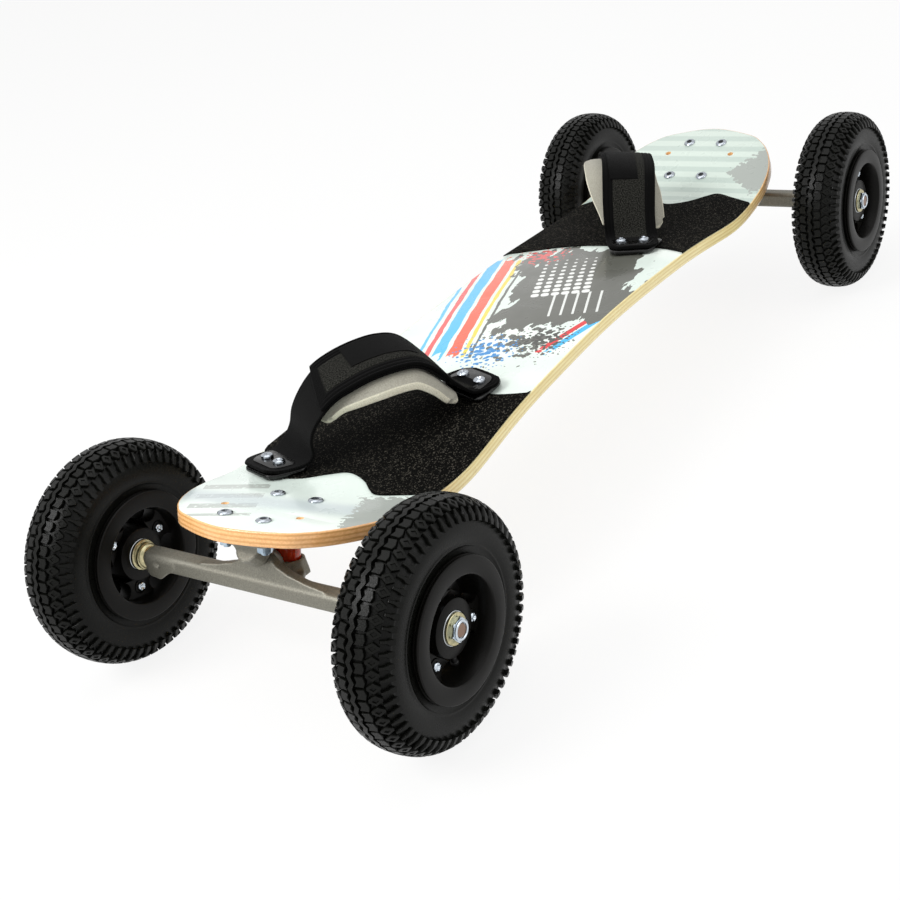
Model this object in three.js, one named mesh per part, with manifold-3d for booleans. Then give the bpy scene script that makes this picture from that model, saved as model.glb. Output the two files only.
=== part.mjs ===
// A mountainboard: a maple deck with two foot bindings, on two sprung skate trucks and
// four wheels with air-filled knobbly tyres. Millimetres. X runs along the deck, Y across
// it, Z up. The ground is Z = 0 and the origin lies on it, under the middle of the deck.
import * as THREE from 'three';
import { mergeVertices } from 'three/addons/utils/BufferGeometryUtils.js';
import ManifoldModule from 'manifold-3d';

const wasm = await ManifoldModule();
wasm.setup();

// Gap kept between neighbouring pieces, and how far a cutter runs past what it cuts.
const CLEARANCE = 0.3;
const OVERRUN = 6;
const WELD = 0.0005;

// Stance: axle to axle along the board, and tyre centre to tyre centre across it.
const WHEELBASE = 861.4;
const TRACK = 333;

// Tyre: an eight by two inch knobbly. Its section is hung between the bead and the crown.
const TYRE_RADIUS = 100;
const TYRE_WIDTH = 50.4;
const TREAD_KNOBS = 20;
const STEPS_PER_KNOB = 2;
const FLAT_DOWN_SHARE = 0.5;
const KNOB_DEPTH = 4;
const CROWN_ZIGZAG = 3.5;
const TYRE_WALL = 6;
const BEAD_WIDTH = 8.5;
// Share of the section height, share of the half width, share of the knob depth.
const TYRE_SECTION_SHARES = [
  [0, 0.87, 0],
  [0.5, 1, 0],
  [0.79, 0.92, 1],
  [0.95, 0.5, 0.9],
];
const CAVITY_SECTION_SHARES = [[0.46, 0.93]];
const SECTION_CENTRE_SHARE = 0.45;
const RING_STEPS = 20;

// Inner tube and its valve, which leaves through the barrel of the outer rim half.
const VALVE_RADIUS = 3.4;
const VALVE_REACH = 21;
const VALVE_FROM_SPLIT = 7;
const VALVE_SIDES = 6;

// Rim: two moulded halves that meet at the middle of the tyre and are screwed together.
const BEAD_SEAT_RADIUS = 50;
const FLANGE_RADIUS = 57.7;
const FLANGE_THICKNESS = 5.6;
const RIM_HALF_WIDTH = 28.8;
const RECESS_RADIUS = 42.5;
const RECESS_DRAFT = 2;
const WEB_FACE = 14;
const BOSS_RADIUS = 23.3;
const BOSS_FACE = 20.1;
const BOSS_DRAFT = 1;
const HUB_STEPS = 15;
const SPOKES = 3;
const WINDOW_INNER_RADIUS = 26.5;
const WINDOW_OUTER_RADIUS = 37.5;
const WINDOW_HALF_ANGLE = THREE.MathUtils.degToRad(36);
const WINDOW_ARC_STEPS = 2;
const SCREW_CIRCLE_RADIUS = 31;
const SCREW_HEAD_RADIUS = 4.6;
const SCREW_HEAD_HEIGHT = 2.4;
const SCREW_SIDES = 6;

// Ball bearing, twelve millimetre bore.
const BEARING_RADIUS = 14;
const BEARING_WIDTH = 8;
const BEARING_PROUD = 0.3;
const BEARING_STEPS = 10;

// Axle, its flanged spacers against the inner bearings, and its nuts with their washers.
const AXLE_RADIUS = 6;
const AXLE_SIDES = 10;
const SPACER_LENGTH = 11.5;
const SPACER_FLANGE_RADIUS = 13.5;
const SPACER_FLANGE_WIDTH = 2.4;
const SPACER_NOSE_RADIUS = 9.2;
const SPACER_SHOULDER_RADIUS = 12;
const WASHER_RADIUS = 13;
const WASHER_THICKNESS = 1.7;
const WASHER_SIDES = 12;
const NUT_RADIUS = 10.3;
const NUT_HEIGHT = 3.6;
const NUT_COLLAR_RADIUS = 8.4;
const NUT_COLLAR_HEIGHT = 1.8;
const HEX = 6;

// Deck: a shallow arch in the middle, folded up to two straight tips.
const TIP_BEYOND_AXLE = 31.3;
const DECK_THICKNESS = 13;
const DECK_HALF_WIDTH = 105.8;
const ARCH_ABOVE_AXLE = 51.5;
const ARCH_HALF_LENGTH = 235;
const ARCH_DROP = 12.4;
const TIP_ANGLE = THREE.MathUtils.degToRad(16.7);
const TIP_BEFORE_AXLE = 72.7;
const ARCH_STEPS = 8;
const FOLD_STEPS = 5;
// Quarter outline: share of the half length, share of the widest half width.
const DECK_OUTLINE_SHARES = [
  [0, 0.925],
  [0.2, 0.938],
  [0.37, 0.948],
  [0.5, 0.977],
  [0.6, 1],
  [0.71, 0.985],
  [0.78, 0.975],
  [0.83, 0.945],
  [0.87, 0.89],
  [0.91, 0.8],
  [0.945, 0.675],
  [0.975, 0.48],
  [1, 0],
];
const OUTLINE_STEPS = 12;

// Grip sheets, one under each foot, with a wavy outer edge. Shares as for the deck.
const GRIP_THICKNESS = 1.2;
const GRIP_OUTER_EDGE_SHARES = [
  [0.69, -1.02],
  [0.716, -0.74],
  [0.733, -0.54],
  [0.72, -0.42],
  [0.69, -0.26],
  [0.672, -0.05],
  [0.692, 0.12],
  [0.724, 0.3],
  [0.733, 0.52],
  [0.7, 0.77],
  [0.63, 1.02],
];
const GRIP_INNER_EDGE_SHARES = [
  [0.255, 1.02],
  [0.331, 0.46],
  [0.357, 0.12],
  [0.366, -0.38],
  [0.362, -0.68],
  [0.337, -1.02],
];
const GRIP_EDGE_STEPS = 10;

// Truck, measured from the deck's underside at the middle of its four bolts:
// outboard along the tip, and down square to it.
const AXLE_OUTBOARD = 10;
const AXLE_DEPTH = 50;
const BOLT_SPACING_ALONG = 63.5;
const BOLT_SPACING_ACROSS = 41.3;
const DECK_BOLT_RADIUS = 3.2;
const DECK_BOLT_HEAD_RADIUS = 6.4;
const DECK_BOLT_HEAD_HEIGHT = 3;
const DECK_BOLT_SIDES = 6;
const DECK_NUT_RADIUS = 6.2;
const DECK_NUT_HEIGHT = 5.5;
const SPARE_HOLE_ACROSS = 40.5;
const SPARE_HOLE_OUTBOARD = 11;
const SPARE_HOLE_RADIUS = 3.4;

// Baseplate with its kingpin boss inboard and its pivot housing outboard.
const PLATE_LENGTH = 88;
const PLATE_WIDTH = 62;
const PLATE_THICKNESS = 6;
const PLATE_CORNER = 9;
const CORNER_STEPS = 2;
const KINGPIN_INBOARD = 15;
const KINGPIN_BOSS_RADIUS = 13.8;
const KINGPIN_BOSS_DEPTH = 16;
const KINGPIN_BOSS_FOOT = 17;
const PIVOT_OUTBOARD = 20;
const PIVOT_DEPTH = 20;
const HOUSING_RADIUS = 11.8;
const HOUSING_MOUTH = 4;
const HOUSING_LENGTH = 17;
const HOUSING_TOP_HALF_WIDTH = 18;
const HOUSING_TOP_INBOARD = 6;
const HOUSING_TOP_OUTBOARD = 38;
const HOUSING_STEPS = 12;
const FLANK_DROP = 4.2;
const FLANK_FOOT_HALF_WIDTH = 7.5;
const FLANK_FOOT_LENGTH = 8;

// Pivot cup and pivot pin, on the steering axis.
const CUP_RADIUS = 9.2;
const CUP_WALL = 3;
const CUP_LENGTH = 10;
const CUP_STEPS = 10;

// Kingpin with its head, lower washer and nut.
const KINGPIN_RADIUS = 5;
const KINGPIN_HEAD_RADIUS = 9;
const KINGPIN_HEAD_HEIGHT = 5;
const KINGPIN_HEAD_SINK = 0.6;
const KINGPIN_NUT_RADIUS = 9;
const KINGPIN_NUT_HEIGHT = 7;
const KINGPIN_WASHER_RADIUS = 11;
const KINGPIN_WASHER_THICKNESS = 2;
const KINGPIN_SIDES = 10;

// Bushings above and below the hanger's ring, and the seats that they sit in.
const BUSHING_RADIUS = 12;
const BUSHING_BULGE = 0.6;
const BUSHING_NOSE_RADIUS = 10;
const LOWER_BUSHING_LENGTH = 11;
const RING_DEPTH = 41;
const RING_THICKNESS = 9;
const SEAT_DEPTH = 3;
const RING_BORE_RADIUS = 8;
const RING_RIM = 2.4;
const RING_FLARE = 4.5;
const RING_FLARE_DEPTH = 14;
const CAST_RING_STEPS = 12;

// Hanger casting: a slim bar along the axle, a web with hollow sides that rises from it to
// the neck of the pivot, a neck that runs down to the ring, gussets from the ring to the
// bar, and a lug at each end with the socket of the screw that locks the axle.
const BAR_HALF_HEIGHT = 8.8;
const BAR_FACE = 8.8;
const BAR_BACK = 8.8;
const BAR_CHAMFER = 3;
const BAR_UNDERCUT = 3.5;
const WEB_LEAN = THREE.MathUtils.degToRad(-12);
const WEB_FOOT_HALF_WIDTH = 68;
const WEB_WAIST_HALF_WIDTH = 20;
const WEB_WAIST_RISE = 14;
const WEB_TOP_HALF_WIDTH = 12;
const WEB_TOP_RISE = 28;
const WEB_STEPS = 4;
const WEB_FRONT = 7.5;
const WEB_BACK = 2;
const NECK_RADIUS = 10.5;
const NECK_WAIST_RADIUS = 8;
const GUSSET_FOOT_HALF_WIDTH = 38;
const GUSSET_TOP_DEPTH = 42.5;
const LUG_LENGTH = 36;
const LUG_DEPTH = 15.5;
const LUG_CORNER = 4.5;
const LUG_CORNER_RISE = 1.5;
const LUG_TIP_INSET = 14;
const LUG_FACE = 9.8;
const LUG_BACK = 1;
const LOCK_SCREW_INSET = 15;
const LOCK_SCREW_RADIUS = 3;
const LOCK_SCREW_RECESS = 3;
const LUG_HOLE_RADIUS = 1.3;
const LUG_HOLE_DEPTH = 3;
const LUG_HOLE_RISE = 4.5;

// Bindings. Each strap runs from an anchor near the tip to one nearer the middle, on the
// other side of the deck's middle line.
const ANCHOR_BEFORE_AXLE = 102.7;
const ANCHOR_TIP_ACROSS_SHARE = 0.6144;
const ANCHOR_SPAN_ALONG = 168;
const ANCHOR_SPAN_ACROSS = -105;
const ANCHOR_LENGTH = 38;
const ANCHOR_WIDTH = 62;
const ANCHOR_THICKNESS = 4;
const ANCHOR_CORNER = 8;
const ANCHOR_BOLT_SPACINGS = [20, 24];
const ANCHOR_BOLT_RADIUS = 3;
const ANCHOR_BOLT_HEAD_RADIUS = 5.8;
const ANCHOR_BOLT_HEAD_HEIGHT = 3.6;
const ANCHOR_BOLT_STOP = 1.5;
const ANCHOR_BOLT_SEAT_GAP = 0.9;

// Strap path seen along the foot: share of the span between anchors, and share of the rise
// above the line between the two tabs.
const STRAP_RISE = 58;
const STRAP_PATH_SHARES = [
  [0.16, 0.46],
  [0.222, 0.7],
  [0.3, 0.88],
  [0.4, 0.97],
  [0.515, 1],
  [0.626, 0.965],
  [0.715, 0.86],
  [0.803, 0.575],
  [0.868, 0.25],
];
const TAB_FOLD_SHARE = 0.1;
const TAB_FOLD_END_SHARE = 0.915;
const TAB_FOLD_LIFT = 3;
// Shares of the path's length over which a tab stops following the deck's own slope.
const TAB_EASE_SHARES = [0.11, 0.19, 0.81, 0.89];
const TAB_LENGTH = 16;
const STRAP_THICKNESS = 3;
const STRAP_GAP = 0.6;
const STRAP_LAYERS = 2;
const STRAP_WIDTH = 70;
const STRAP_TAB_WIDTH = 54;
const STRAP_STEPS = 19;
const STRAP_COLUMNS = 3;
const FLAP_START_SHARE = 0.33;
const UNDERSTRAP_END_SHARE = 0.79;
const UNDERSTRAP_WIDTH = 64;
const WIDENING_SHARES = [0.1, 0.26, 0.74, 0.9];
// The straps lean towards the toes, more at the crown and not at all at the tabs.
const TOE_TILT = THREE.MathUtils.degToRad(12.5);
const TILT_SHARES = [0.1, 0.45, 0.55, 0.9];

// Foam pad under the strap: wider than it, drooping along both edges, thin at both ends.
const PAD_START_SHARE = 0.2;
const PAD_END_SHARE = 0.84;
const PAD_THICKNESS = 9;
const PAD_WIDTH = 84;
const PAD_END_WIDTH_SHARE = 0.8;
const PAD_END_THICKNESS_SHARE = 0.45;
const PAD_DROOP = 3;
const PAD_STEPS = 12;
const PAD_COLUMNS = 7;

// Rest angles that the four wheels happen to stand at, each with a flat of the tyre down.
const WHEEL_SPIN_DEGREES = {
  front_left: 18,
  front_right: -27,
  rear_left: -45,
  rear_right: 9,
};

// Sizes worked out from those above.
const TREAD_STEPS = TREAD_KNOBS * STEPS_PER_KNOB;
const AXLE_HEIGHT = TYRE_RADIUS * Math.cos(Math.PI / TREAD_STEPS);
const HALF_WHEELBASE = WHEELBASE / 2;
const HALF_TRACK = TRACK / 2;
const BEARING_FACE = BOSS_FACE + BEARING_PROUD;
const HANGER_HALF_LENGTH = HALF_TRACK - BEARING_FACE - SPACER_LENGTH - 2 * CLEARANCE;
const HALF_DECK = HALF_WHEELBASE + TIP_BEYOND_AXLE;
const TIP_START = HALF_WHEELBASE - TIP_BEFORE_AXLE;
const ANCHOR_TIP_ALONG = HALF_WHEELBASE - ANCHOR_BEFORE_AXLE;
const ANCHOR_TIP_ACROSS = ANCHOR_TIP_ACROSS_SHARE * DECK_HALF_WIDTH;
const SPAN = Math.hypot(ANCHOR_SPAN_ALONG, ANCHOR_SPAN_ACROSS);
const GRIP_TOP = CLEARANCE + GRIP_THICKNESS;
const ANCHOR_BOTTOM = GRIP_TOP + CLEARANCE;
const ANCHOR_TOP = ANCHOR_BOTTOM + ANCHOR_THICKNESS;
const TAB_TOP = ANCHOR_TOP + STRAP_GAP + STRAP_THICKNESS;

// Finishes.
const finish = (color, roughness, metalness) =>
  new THREE.MeshStandardMaterial({ color, roughness, metalness });
const FINISHES = {
  rubber: finish(0x17181a, 0.85, 0),
  rim: finish(0x1b1b1d, 0.4, 0),
  bearing: finish(0xb9bcc0, 0.3, 1),
  zinc: finish(0xc9b469, 0.35, 1),
  steel: finish(0xc3c8cc, 0.25, 1),
  casting: finish(0x84837b, 0.6, 0.9),
  urethane: finish(0x7d1410, 0.4, 0),
  maple: finish(0xd9b06a, 0.55, 0),
  grip: finish(0x141414, 0.95, 0),
  anchor: finish(0x141416, 0.6, 0),
  webbing: finish(0x1d1d20, 0.9, 0),
  foam: finish(0xc9c6ba, 0.85, 0),
};

// Turns a mesh's faces outwards when its maker left them pointing in.
function outward(geometry) {
  const spots = geometry.attributes.position;
  const corners = geometry.index;
  const [a, b, c] = [new THREE.Vector3(), new THREE.Vector3(), new THREE.Vector3()];
  let volume = 0;
  for (let i = 0; i < corners.count; i += 3) {
    a.fromBufferAttribute(spots, corners.getX(i));
    b.fromBufferAttribute(spots, corners.getX(i + 1));
    c.fromBufferAttribute(spots, corners.getX(i + 2));
    volume += a.dot(b.cross(c));
  }
  if (volume < 0) {
    for (let i = 0; i < corners.count; i += 3) {
      const swap = corners.getX(i + 1);
      corners.setX(i + 1, corners.getX(i + 2));
      corners.setX(i + 2, swap);
    }
  }
  return geometry;
}

// One closed solid from a three.js geometry.
function solid(geometry) {
  const bare = geometry.clone();
  bare.deleteAttribute('normal');
  bare.deleteAttribute('uv');
  const welded = outward(mergeVertices(bare, WELD));
  const vertProperties = new Float32Array(welded.attributes.position.array);
  const triVerts = new Uint32Array(welded.index.array);
  return new wasm.Manifold(new wasm.Mesh({ numProp: 3, vertProperties, triVerts }));
}

// The three.js geometry of a solid.
function meshed(body) {
  const mesh = body.getMesh();
  const geometry = new THREE.BufferGeometry();
  geometry.setAttribute('position', new THREE.BufferAttribute(mesh.vertProperties, 3));
  geometry.setIndex(new THREE.BufferAttribute(mesh.triVerts, 1));
  geometry.computeVertexNormals();
  return geometry;
}

const joined = (first, ...others) => others.reduce((sum, piece) => sum.add(piece), first);
const cut = (body, ...tools) => tools.reduce((rest, tool) => rest.subtract(tool), body);

// The radius of a faceted bore whose flats clear a shaft of the given radius.
const boreRadius = (shaft, steps) => (shaft + CLEARANCE) / Math.cos(Math.PI / steps);

const outlineOf = (points) => new THREE.Shape(points.map(([x, y]) => new THREE.Vector2(x, y)));

// An outline in X and Y, raised along Z from one height to another.
function raised(points, low, high) {
  const geometry = new THREE.ExtrudeGeometry(outlineOf(points), {
    depth: high - low,
    bevelEnabled: false,
    steps: 1,
  });
  return geometry.translate(0, 0, low);
}

// An outline in X and Z, drawn out across Y from one side to the other.
function across(points, low, high) {
  return raised(points, -high, -low).rotateX(Math.PI / 2);
}

// An outline in Y and Z, drawn out along X from one side to the other.
function along(points, low, high) {
  return raised(points, low, high).rotateX(Math.PI / 2).rotateZ(Math.PI / 2);
}

// A closed profile of [radius, height], turned about Y.
function turned(profile, steps) {
  const points = [...profile, profile[0]].map(([r, y]) => new THREE.Vector2(r, y));
  return new THREE.LatheGeometry(points, steps);
}

// The same, turned about Z.
const turnedUpright = (profile, steps) => turned(profile, steps).rotateX(Math.PI / 2);

// A plain round or hexagonal bar along Z.
function bar(radius, low, high, sides) {
  const geometry = new THREE.CylinderGeometry(radius, radius, high - low, sides);
  return geometry.rotateX(Math.PI / 2).translate(0, 0, (low + high) / 2);
}

// Joins a row of loops that have as many points each into a skin, closed end to end or capped.
function skin(loops, endless) {
  const size = loops[0].length;
  const positions = loops.flat(2);
  const faces = [];
  const rows = endless ? loops.length : loops.length - 1;
  for (let row = 0; row < rows; row++) {
    const next = (row + 1) % loops.length;
    for (let i = 0; i < size; i++) {
      const j = (i + 1) % size;
      const [a, b] = [row * size + i, row * size + j];
      const [c, d] = [next * size + j, next * size + i];
      faces.push(a, b, c, a, c, d);
    }
  }
  if (!endless) {
    const last = (loops.length - 1) * size;
    for (let i = 0; i < size / 2 - 1; i++) {
      const [a, b, c, d] = [i, i + 1, size - 2 - i, size - 1 - i];
      faces.push(a, c, b, a, d, c);
      faces.push(last + a, last + b, last + c, last + a, last + c, last + d);
    }
  }
  const geometry = new THREE.BufferGeometry();
  geometry.setAttribute('position', new THREE.Float32BufferAttribute(positions, 3));
  geometry.setIndex(faces);
  return outward(geometry);
}

// A rectangle with rounded corners about a centre, as points.
function roundedRectangle(length, width, corner, steps) {
  const points = [];
  for (let quarter = 0; quarter < 4; quarter++) {
    const [signX, signY] = [[1, 1], [-1, 1], [-1, -1], [1, -1]][quarter];
    for (let step = 0; step <= steps; step++) {
      const angle = (quarter + step / steps) * (Math.PI / 2);
      points.push([
        signX * (length / 2 - corner) + corner * Math.cos(angle),
        signY * (width / 2 - corner) + corner * Math.sin(angle),
      ]);
    }
  }
  return points;
}

const board = new THREE.Group();

function add(name, shape, material, parent = board) {
  const mesh = new THREE.Mesh(shape, material);
  mesh.name = name;
  parent.add(mesh);
  return mesh;
}

// Wheel. Each is made about its own axle line, Y, with its outer face towards +Y.
const sectionHeight = TYRE_RADIUS - BEAD_SEAT_RADIUS;
const beadRadius = boreRadius(BEAD_SEAT_RADIUS, TREAD_STEPS);

// The tyre's outer skin: one loop of the section for each step round the wheel. Knobs stand
// at every other step, staggered from one row to the next, beside a zigzag centre rib.
function tyreLoop(step) {
  const angle = ((step + FLAT_DOWN_SHARE) * 2 * Math.PI) / TREAD_STEPS;
  const centre = BEAD_SEAT_RADIUS + SECTION_CENTRE_SHARE * sectionHeight;
  const place = (radius, y) => [radius * Math.cos(angle), y, radius * Math.sin(angle)];
  const sidePoint = ([heightShare, widthShare, knobShare], row, side) => {
    let radius = Math.max(BEAD_SEAT_RADIUS + heightShare * sectionHeight, beadRadius);
    let y = widthShare * (TYRE_WIDTH / 2);
    const inGroove = (step + row) % STEPS_PER_KNOB === 1;
    if (inGroove) {
      const reach = Math.hypot(radius - centre, y);
      const sink = (KNOB_DEPTH * knobShare) / reach;
      radius -= sink * (radius - centre);
      y -= sink * y;
    }
    return place(radius, side * y);
  };
  const left = TYRE_SECTION_SHARES.map((row, i) => sidePoint(row, i, -1));
  const right = TYRE_SECTION_SHARES.map((row, i) => sidePoint(row, i, 1)).reverse();
  const lean = step % STEPS_PER_KNOB === 0 ? CROWN_ZIGZAG : -CROWN_ZIGZAG;
  return [...left, place(TYRE_RADIUS, lean), ...right];
}

// The section of the hollow inside the tyre, drawn in by a given gap for the tube in it.
function cavityProfile(gap, innerRadius) {
  const halfWidth = TYRE_WIDTH / 2;
  const side = [
    [innerRadius, halfWidth - BEAD_WIDTH - TYRE_WALL / 2 - gap],
    ...CAVITY_SECTION_SHARES.map(([heightShare, widthShare]) => [
      BEAD_SEAT_RADIUS + heightShare * sectionHeight,
      widthShare * (halfWidth - TYRE_WALL / 2) - gap,
    ]),
  ];
  return [
    ...side.map(([r, y]) => [r, -y]),
    [TYRE_RADIUS - TYRE_WALL - KNOB_DEPTH / 2 - gap, 0],
    ...side.reverse(),
  ];
}

function tyreGeometry() {
  const loops = Array.from({ length: TREAD_STEPS }, (_, step) => tyreLoop(step));
  const hollow = turned(cavityProfile(0, BEAD_SEAT_RADIUS - OVERRUN), RING_STEPS);
  return meshed(cut(solid(skin(loops, true)), solid(hollow)));
}

function tubeGeometry() {
  const innerRadius = boreRadius(BEAD_SEAT_RADIUS, RING_STEPS);
  const ring = solid(turned(cavityProfile(CLEARANCE, innerRadius), RING_STEPS));
  const valve = bar(VALVE_RADIUS, -innerRadius - OVERRUN, VALVE_REACH - innerRadius, VALVE_SIDES);
  return meshed(joined(ring, solid(valve.translate(0, VALVE_FROM_SPLIT, 0))));
}

// One window between two spokes, as an outline in the wheel's plane.
function windowOutline(centreAngle) {
  const arc = (radius, from, to) =>
    Array.from({ length: WINDOW_ARC_STEPS + 1 }, (_, i) => {
      const angle = centreAngle + from + ((to - from) * i) / WINDOW_ARC_STEPS;
      return [radius * Math.cos(angle), radius * Math.sin(angle)];
    });
  return [
    ...arc(WINDOW_OUTER_RADIUS, -WINDOW_HALF_ANGLE, WINDOW_HALF_ANGLE),
    ...arc(WINDOW_INNER_RADIUS, WINDOW_HALF_ANGLE, -WINDOW_HALF_ANGLE),
  ];
}

// One half of the rim. The outer half also has the hole that the valve comes through.
function rimHalfGeometry(outer) {
  const split = CLEARANCE / 2;
  const seat = boreRadius(BEARING_RADIUS, HUB_STEPS);
  const profile = [
    [boreRadius(AXLE_RADIUS + CLEARANCE, HUB_STEPS), split],
    [boreRadius(AXLE_RADIUS + CLEARANCE, HUB_STEPS), BEARING_FACE - BEARING_WIDTH - CLEARANCE],
    [seat, BEARING_FACE - BEARING_WIDTH - CLEARANCE],
    [seat, BOSS_FACE],
    [BOSS_RADIUS, BOSS_FACE],
    [BOSS_RADIUS + BOSS_DRAFT, WEB_FACE],
    [RECESS_RADIUS - RECESS_DRAFT, WEB_FACE],
    [RECESS_RADIUS, RIM_HALF_WIDTH],
    [FLANGE_RADIUS, RIM_HALF_WIDTH],
    [FLANGE_RADIUS, RIM_HALF_WIDTH - FLANGE_THICKNESS],
    [BEAD_SEAT_RADIUS, RIM_HALF_WIDTH - FLANGE_THICKNESS - CLEARANCE],
    [BEAD_SEAT_RADIUS, split],
  ];
  let half = solid(turned(profile, HUB_STEPS));
  for (let spoke = 0; spoke < SPOKES; spoke++) {
    const turn = (spoke * 2 * Math.PI) / SPOKES;
    const window = across(windowOutline(turn - Math.PI / 2), -OVERRUN, WEB_FACE + OVERRUN);
    const angle = turn + Math.PI / 2;
    const head = bar(SCREW_HEAD_RADIUS, 0, SCREW_HEAD_HEIGHT + CLEARANCE, SCREW_SIDES)
      .rotateX(-Math.PI / 2)
      .translate(
        SCREW_CIRCLE_RADIUS * Math.cos(angle),
        WEB_FACE - CLEARANCE,
        SCREW_CIRCLE_RADIUS * Math.sin(angle),
      );
    half = joined(cut(half, solid(window)), solid(head));
  }
  if (outer) {
    const hole = bar(
      boreRadius(VALVE_RADIUS, VALVE_SIDES),
      -BEAD_SEAT_RADIUS - OVERRUN,
      -WINDOW_INNER_RADIUS - OVERRUN / 2,
      VALVE_SIDES,
    );
    half = cut(half, solid(hole.translate(0, VALVE_FROM_SPLIT, 0)));
    return meshed(half);
  }
  return meshed(half).rotateZ(Math.PI).rotateY(Math.PI);
}

// A plain ring about Y, from one place on the axle line to another.
function ringGeometry(outerRadius, innerRadius, low, high, steps) {
  const profile = [
    [innerRadius, low],
    [outerRadius, low],
    [outerRadius, high],
    [innerRadius, high],
  ];
  return meshed(solid(turned(profile, steps)));
}

const axleBore = boreRadius(AXLE_RADIUS, BEARING_STEPS);
const bearing = ringGeometry(
  BEARING_RADIUS,
  axleBore,
  BEARING_FACE - BEARING_WIDTH,
  BEARING_FACE,
  BEARING_STEPS,
);
const wheelPieces = {
  tyre: [tyreGeometry(), FINISHES.rubber],
  inner_tube: [tubeGeometry(), FINISHES.rubber],
  rim_outer: [rimHalfGeometry(true), FINISHES.rim],
  rim_inner: [rimHalfGeometry(false), FINISHES.rim],
  bearing_outer: [bearing, FINISHES.bearing],
  bearing_inner: [bearing.clone().rotateX(Math.PI), FINISHES.bearing],
};

// The nut and its washer, outside the outer bearing.
function axleNutGeometry() {
  const washerFace = BEARING_FACE + CLEARANCE + WASHER_THICKNESS;
  const nutFace = washerFace + NUT_HEIGHT;
  const washer = bar(WASHER_RADIUS, BEARING_FACE + CLEARANCE, washerFace, WASHER_SIDES);
  const nut = bar(NUT_RADIUS, washerFace - CLEARANCE, nutFace, HEX);
  const collar = bar(
    NUT_COLLAR_RADIUS,
    nutFace - CLEARANCE,
    nutFace + NUT_COLLAR_HEIGHT,
    BEARING_STEPS,
  );
  const hole = bar(axleBore, 0, RIM_HALF_WIDTH + OVERRUN, AXLE_SIDES);
  const body = cut(joined(solid(washer), solid(nut), solid(collar)), solid(hole));
  return meshed(body).rotateX(-Math.PI / 2);
}

// The spacer between the hanger's end and the inner bearing: a flange and a rounded nose.
function axleSpacerGeometry() {
  const bearingEnd = -BEARING_FACE - CLEARANCE;
  const hangerEnd = bearingEnd - SPACER_LENGTH;
  const domeLength = SPACER_LENGTH - SPACER_FLANGE_WIDTH;
  const profile = [
    [axleBore, bearingEnd],
    [axleBore, hangerEnd],
    [SPACER_NOSE_RADIUS, hangerEnd],
    [SPACER_SHOULDER_RADIUS, hangerEnd + domeLength / 2],
    [SPACER_FLANGE_RADIUS, hangerEnd + domeLength],
    [SPACER_FLANGE_RADIUS, bearingEnd],
  ];
  return meshed(solid(turned(profile, BEARING_STEPS)));
}

const nutGeometry = axleNutGeometry();
const spacerGeometry = axleSpacerGeometry();

// Deck. The side profile is a line of points; every layer on the deck follows it.
const tipSlope = Math.tan(TIP_ANGLE);
const alongTip = new THREE.Vector2(Math.cos(TIP_ANGLE), Math.sin(TIP_ANGLE));
const squareToTip = new THREE.Vector2(-Math.sin(TIP_ANGLE), Math.cos(TIP_ANGLE));

// A place seen from the truck's mounting point: outboard along the tip, up square to it.
// The first form is about the axle, the second in the board's own X and Z.
function fromAxle(outboard, up) {
  return alongTip
    .clone()
    .multiplyScalar(outboard - AXLE_OUTBOARD)
    .addScaledVector(squareToTip, up + AXLE_DEPTH);
}
const onBoard = (outboard, up) =>
  fromAxle(outboard, up).add(new THREE.Vector2(HALF_WHEELBASE, AXLE_HEIGHT));
const boltCentreTop = onBoard(0, DECK_THICKNESS);

const tipHeight = (x) => boltCentreTop.y + tipSlope * (x - boltCentreTop.x);
const archTop = AXLE_HEIGHT + ARCH_ABOVE_AXLE;
const archHeight = (x) => archTop - ARCH_DROP * (x / ARCH_HALF_LENGTH) ** 2;

// Half of the side profile, from the middle of the arch to past the tip. The fold between
// the arch and the tip is a curve tangent to both.
function halfProfile() {
  const archSlope = (-2 * ARCH_DROP) / ARCH_HALF_LENGTH;
  const archEnd = new THREE.Vector2(ARCH_HALF_LENGTH, archHeight(ARCH_HALF_LENGTH));
  const tipStart = new THREE.Vector2(TIP_START, tipHeight(TIP_START));
  const meet =
    (tipStart.y - archEnd.y + archSlope * archEnd.x - tipSlope * tipStart.x) /
    (archSlope - tipSlope);
  const knee = new THREE.Vector2(meet, tipHeight(meet));
  const fold = new THREE.QuadraticBezierCurve(archEnd, knee, tipStart);
  const arch = Array.from({ length: ARCH_STEPS }, (_, i) => {
    const x = (i * ARCH_HALF_LENGTH) / ARCH_STEPS;
    return new THREE.Vector2(x, archHeight(x));
  });
  const end = HALF_DECK + OVERRUN;
  return [...arch, ...fold.getPoints(FOLD_STEPS), new THREE.Vector2(end, tipHeight(end))];
}
const frontProfile = halfProfile();
const rearProfile = frontProfile.slice(1).map((p) => new THREE.Vector2(-p.x, p.y));
const profile = [...rearProfile.reverse(), ...frontProfile];

// The profile moved up square to itself.
function profileRaisedBy(height) {
  return profile.map((point, i) => {
    const before = profile[Math.max(i - 1, 0)];
    const after = profile[Math.min(i + 1, profile.length - 1)];
    const run = after.clone().sub(before).normalize();
    return [point.x - run.y * height, point.y + run.x * height];
  });
}

// Height of the deck's top face, and its slope, at a place along the board.
function deckTop(x) {
  const i = profile.findIndex((point) => point.x >= x);
  const [low, high] = [profile[i - 1], profile[i]];
  const slope = (high.y - low.y) / (high.x - low.x);
  return { height: low.y + slope * (x - low.x), slope };
}

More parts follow.
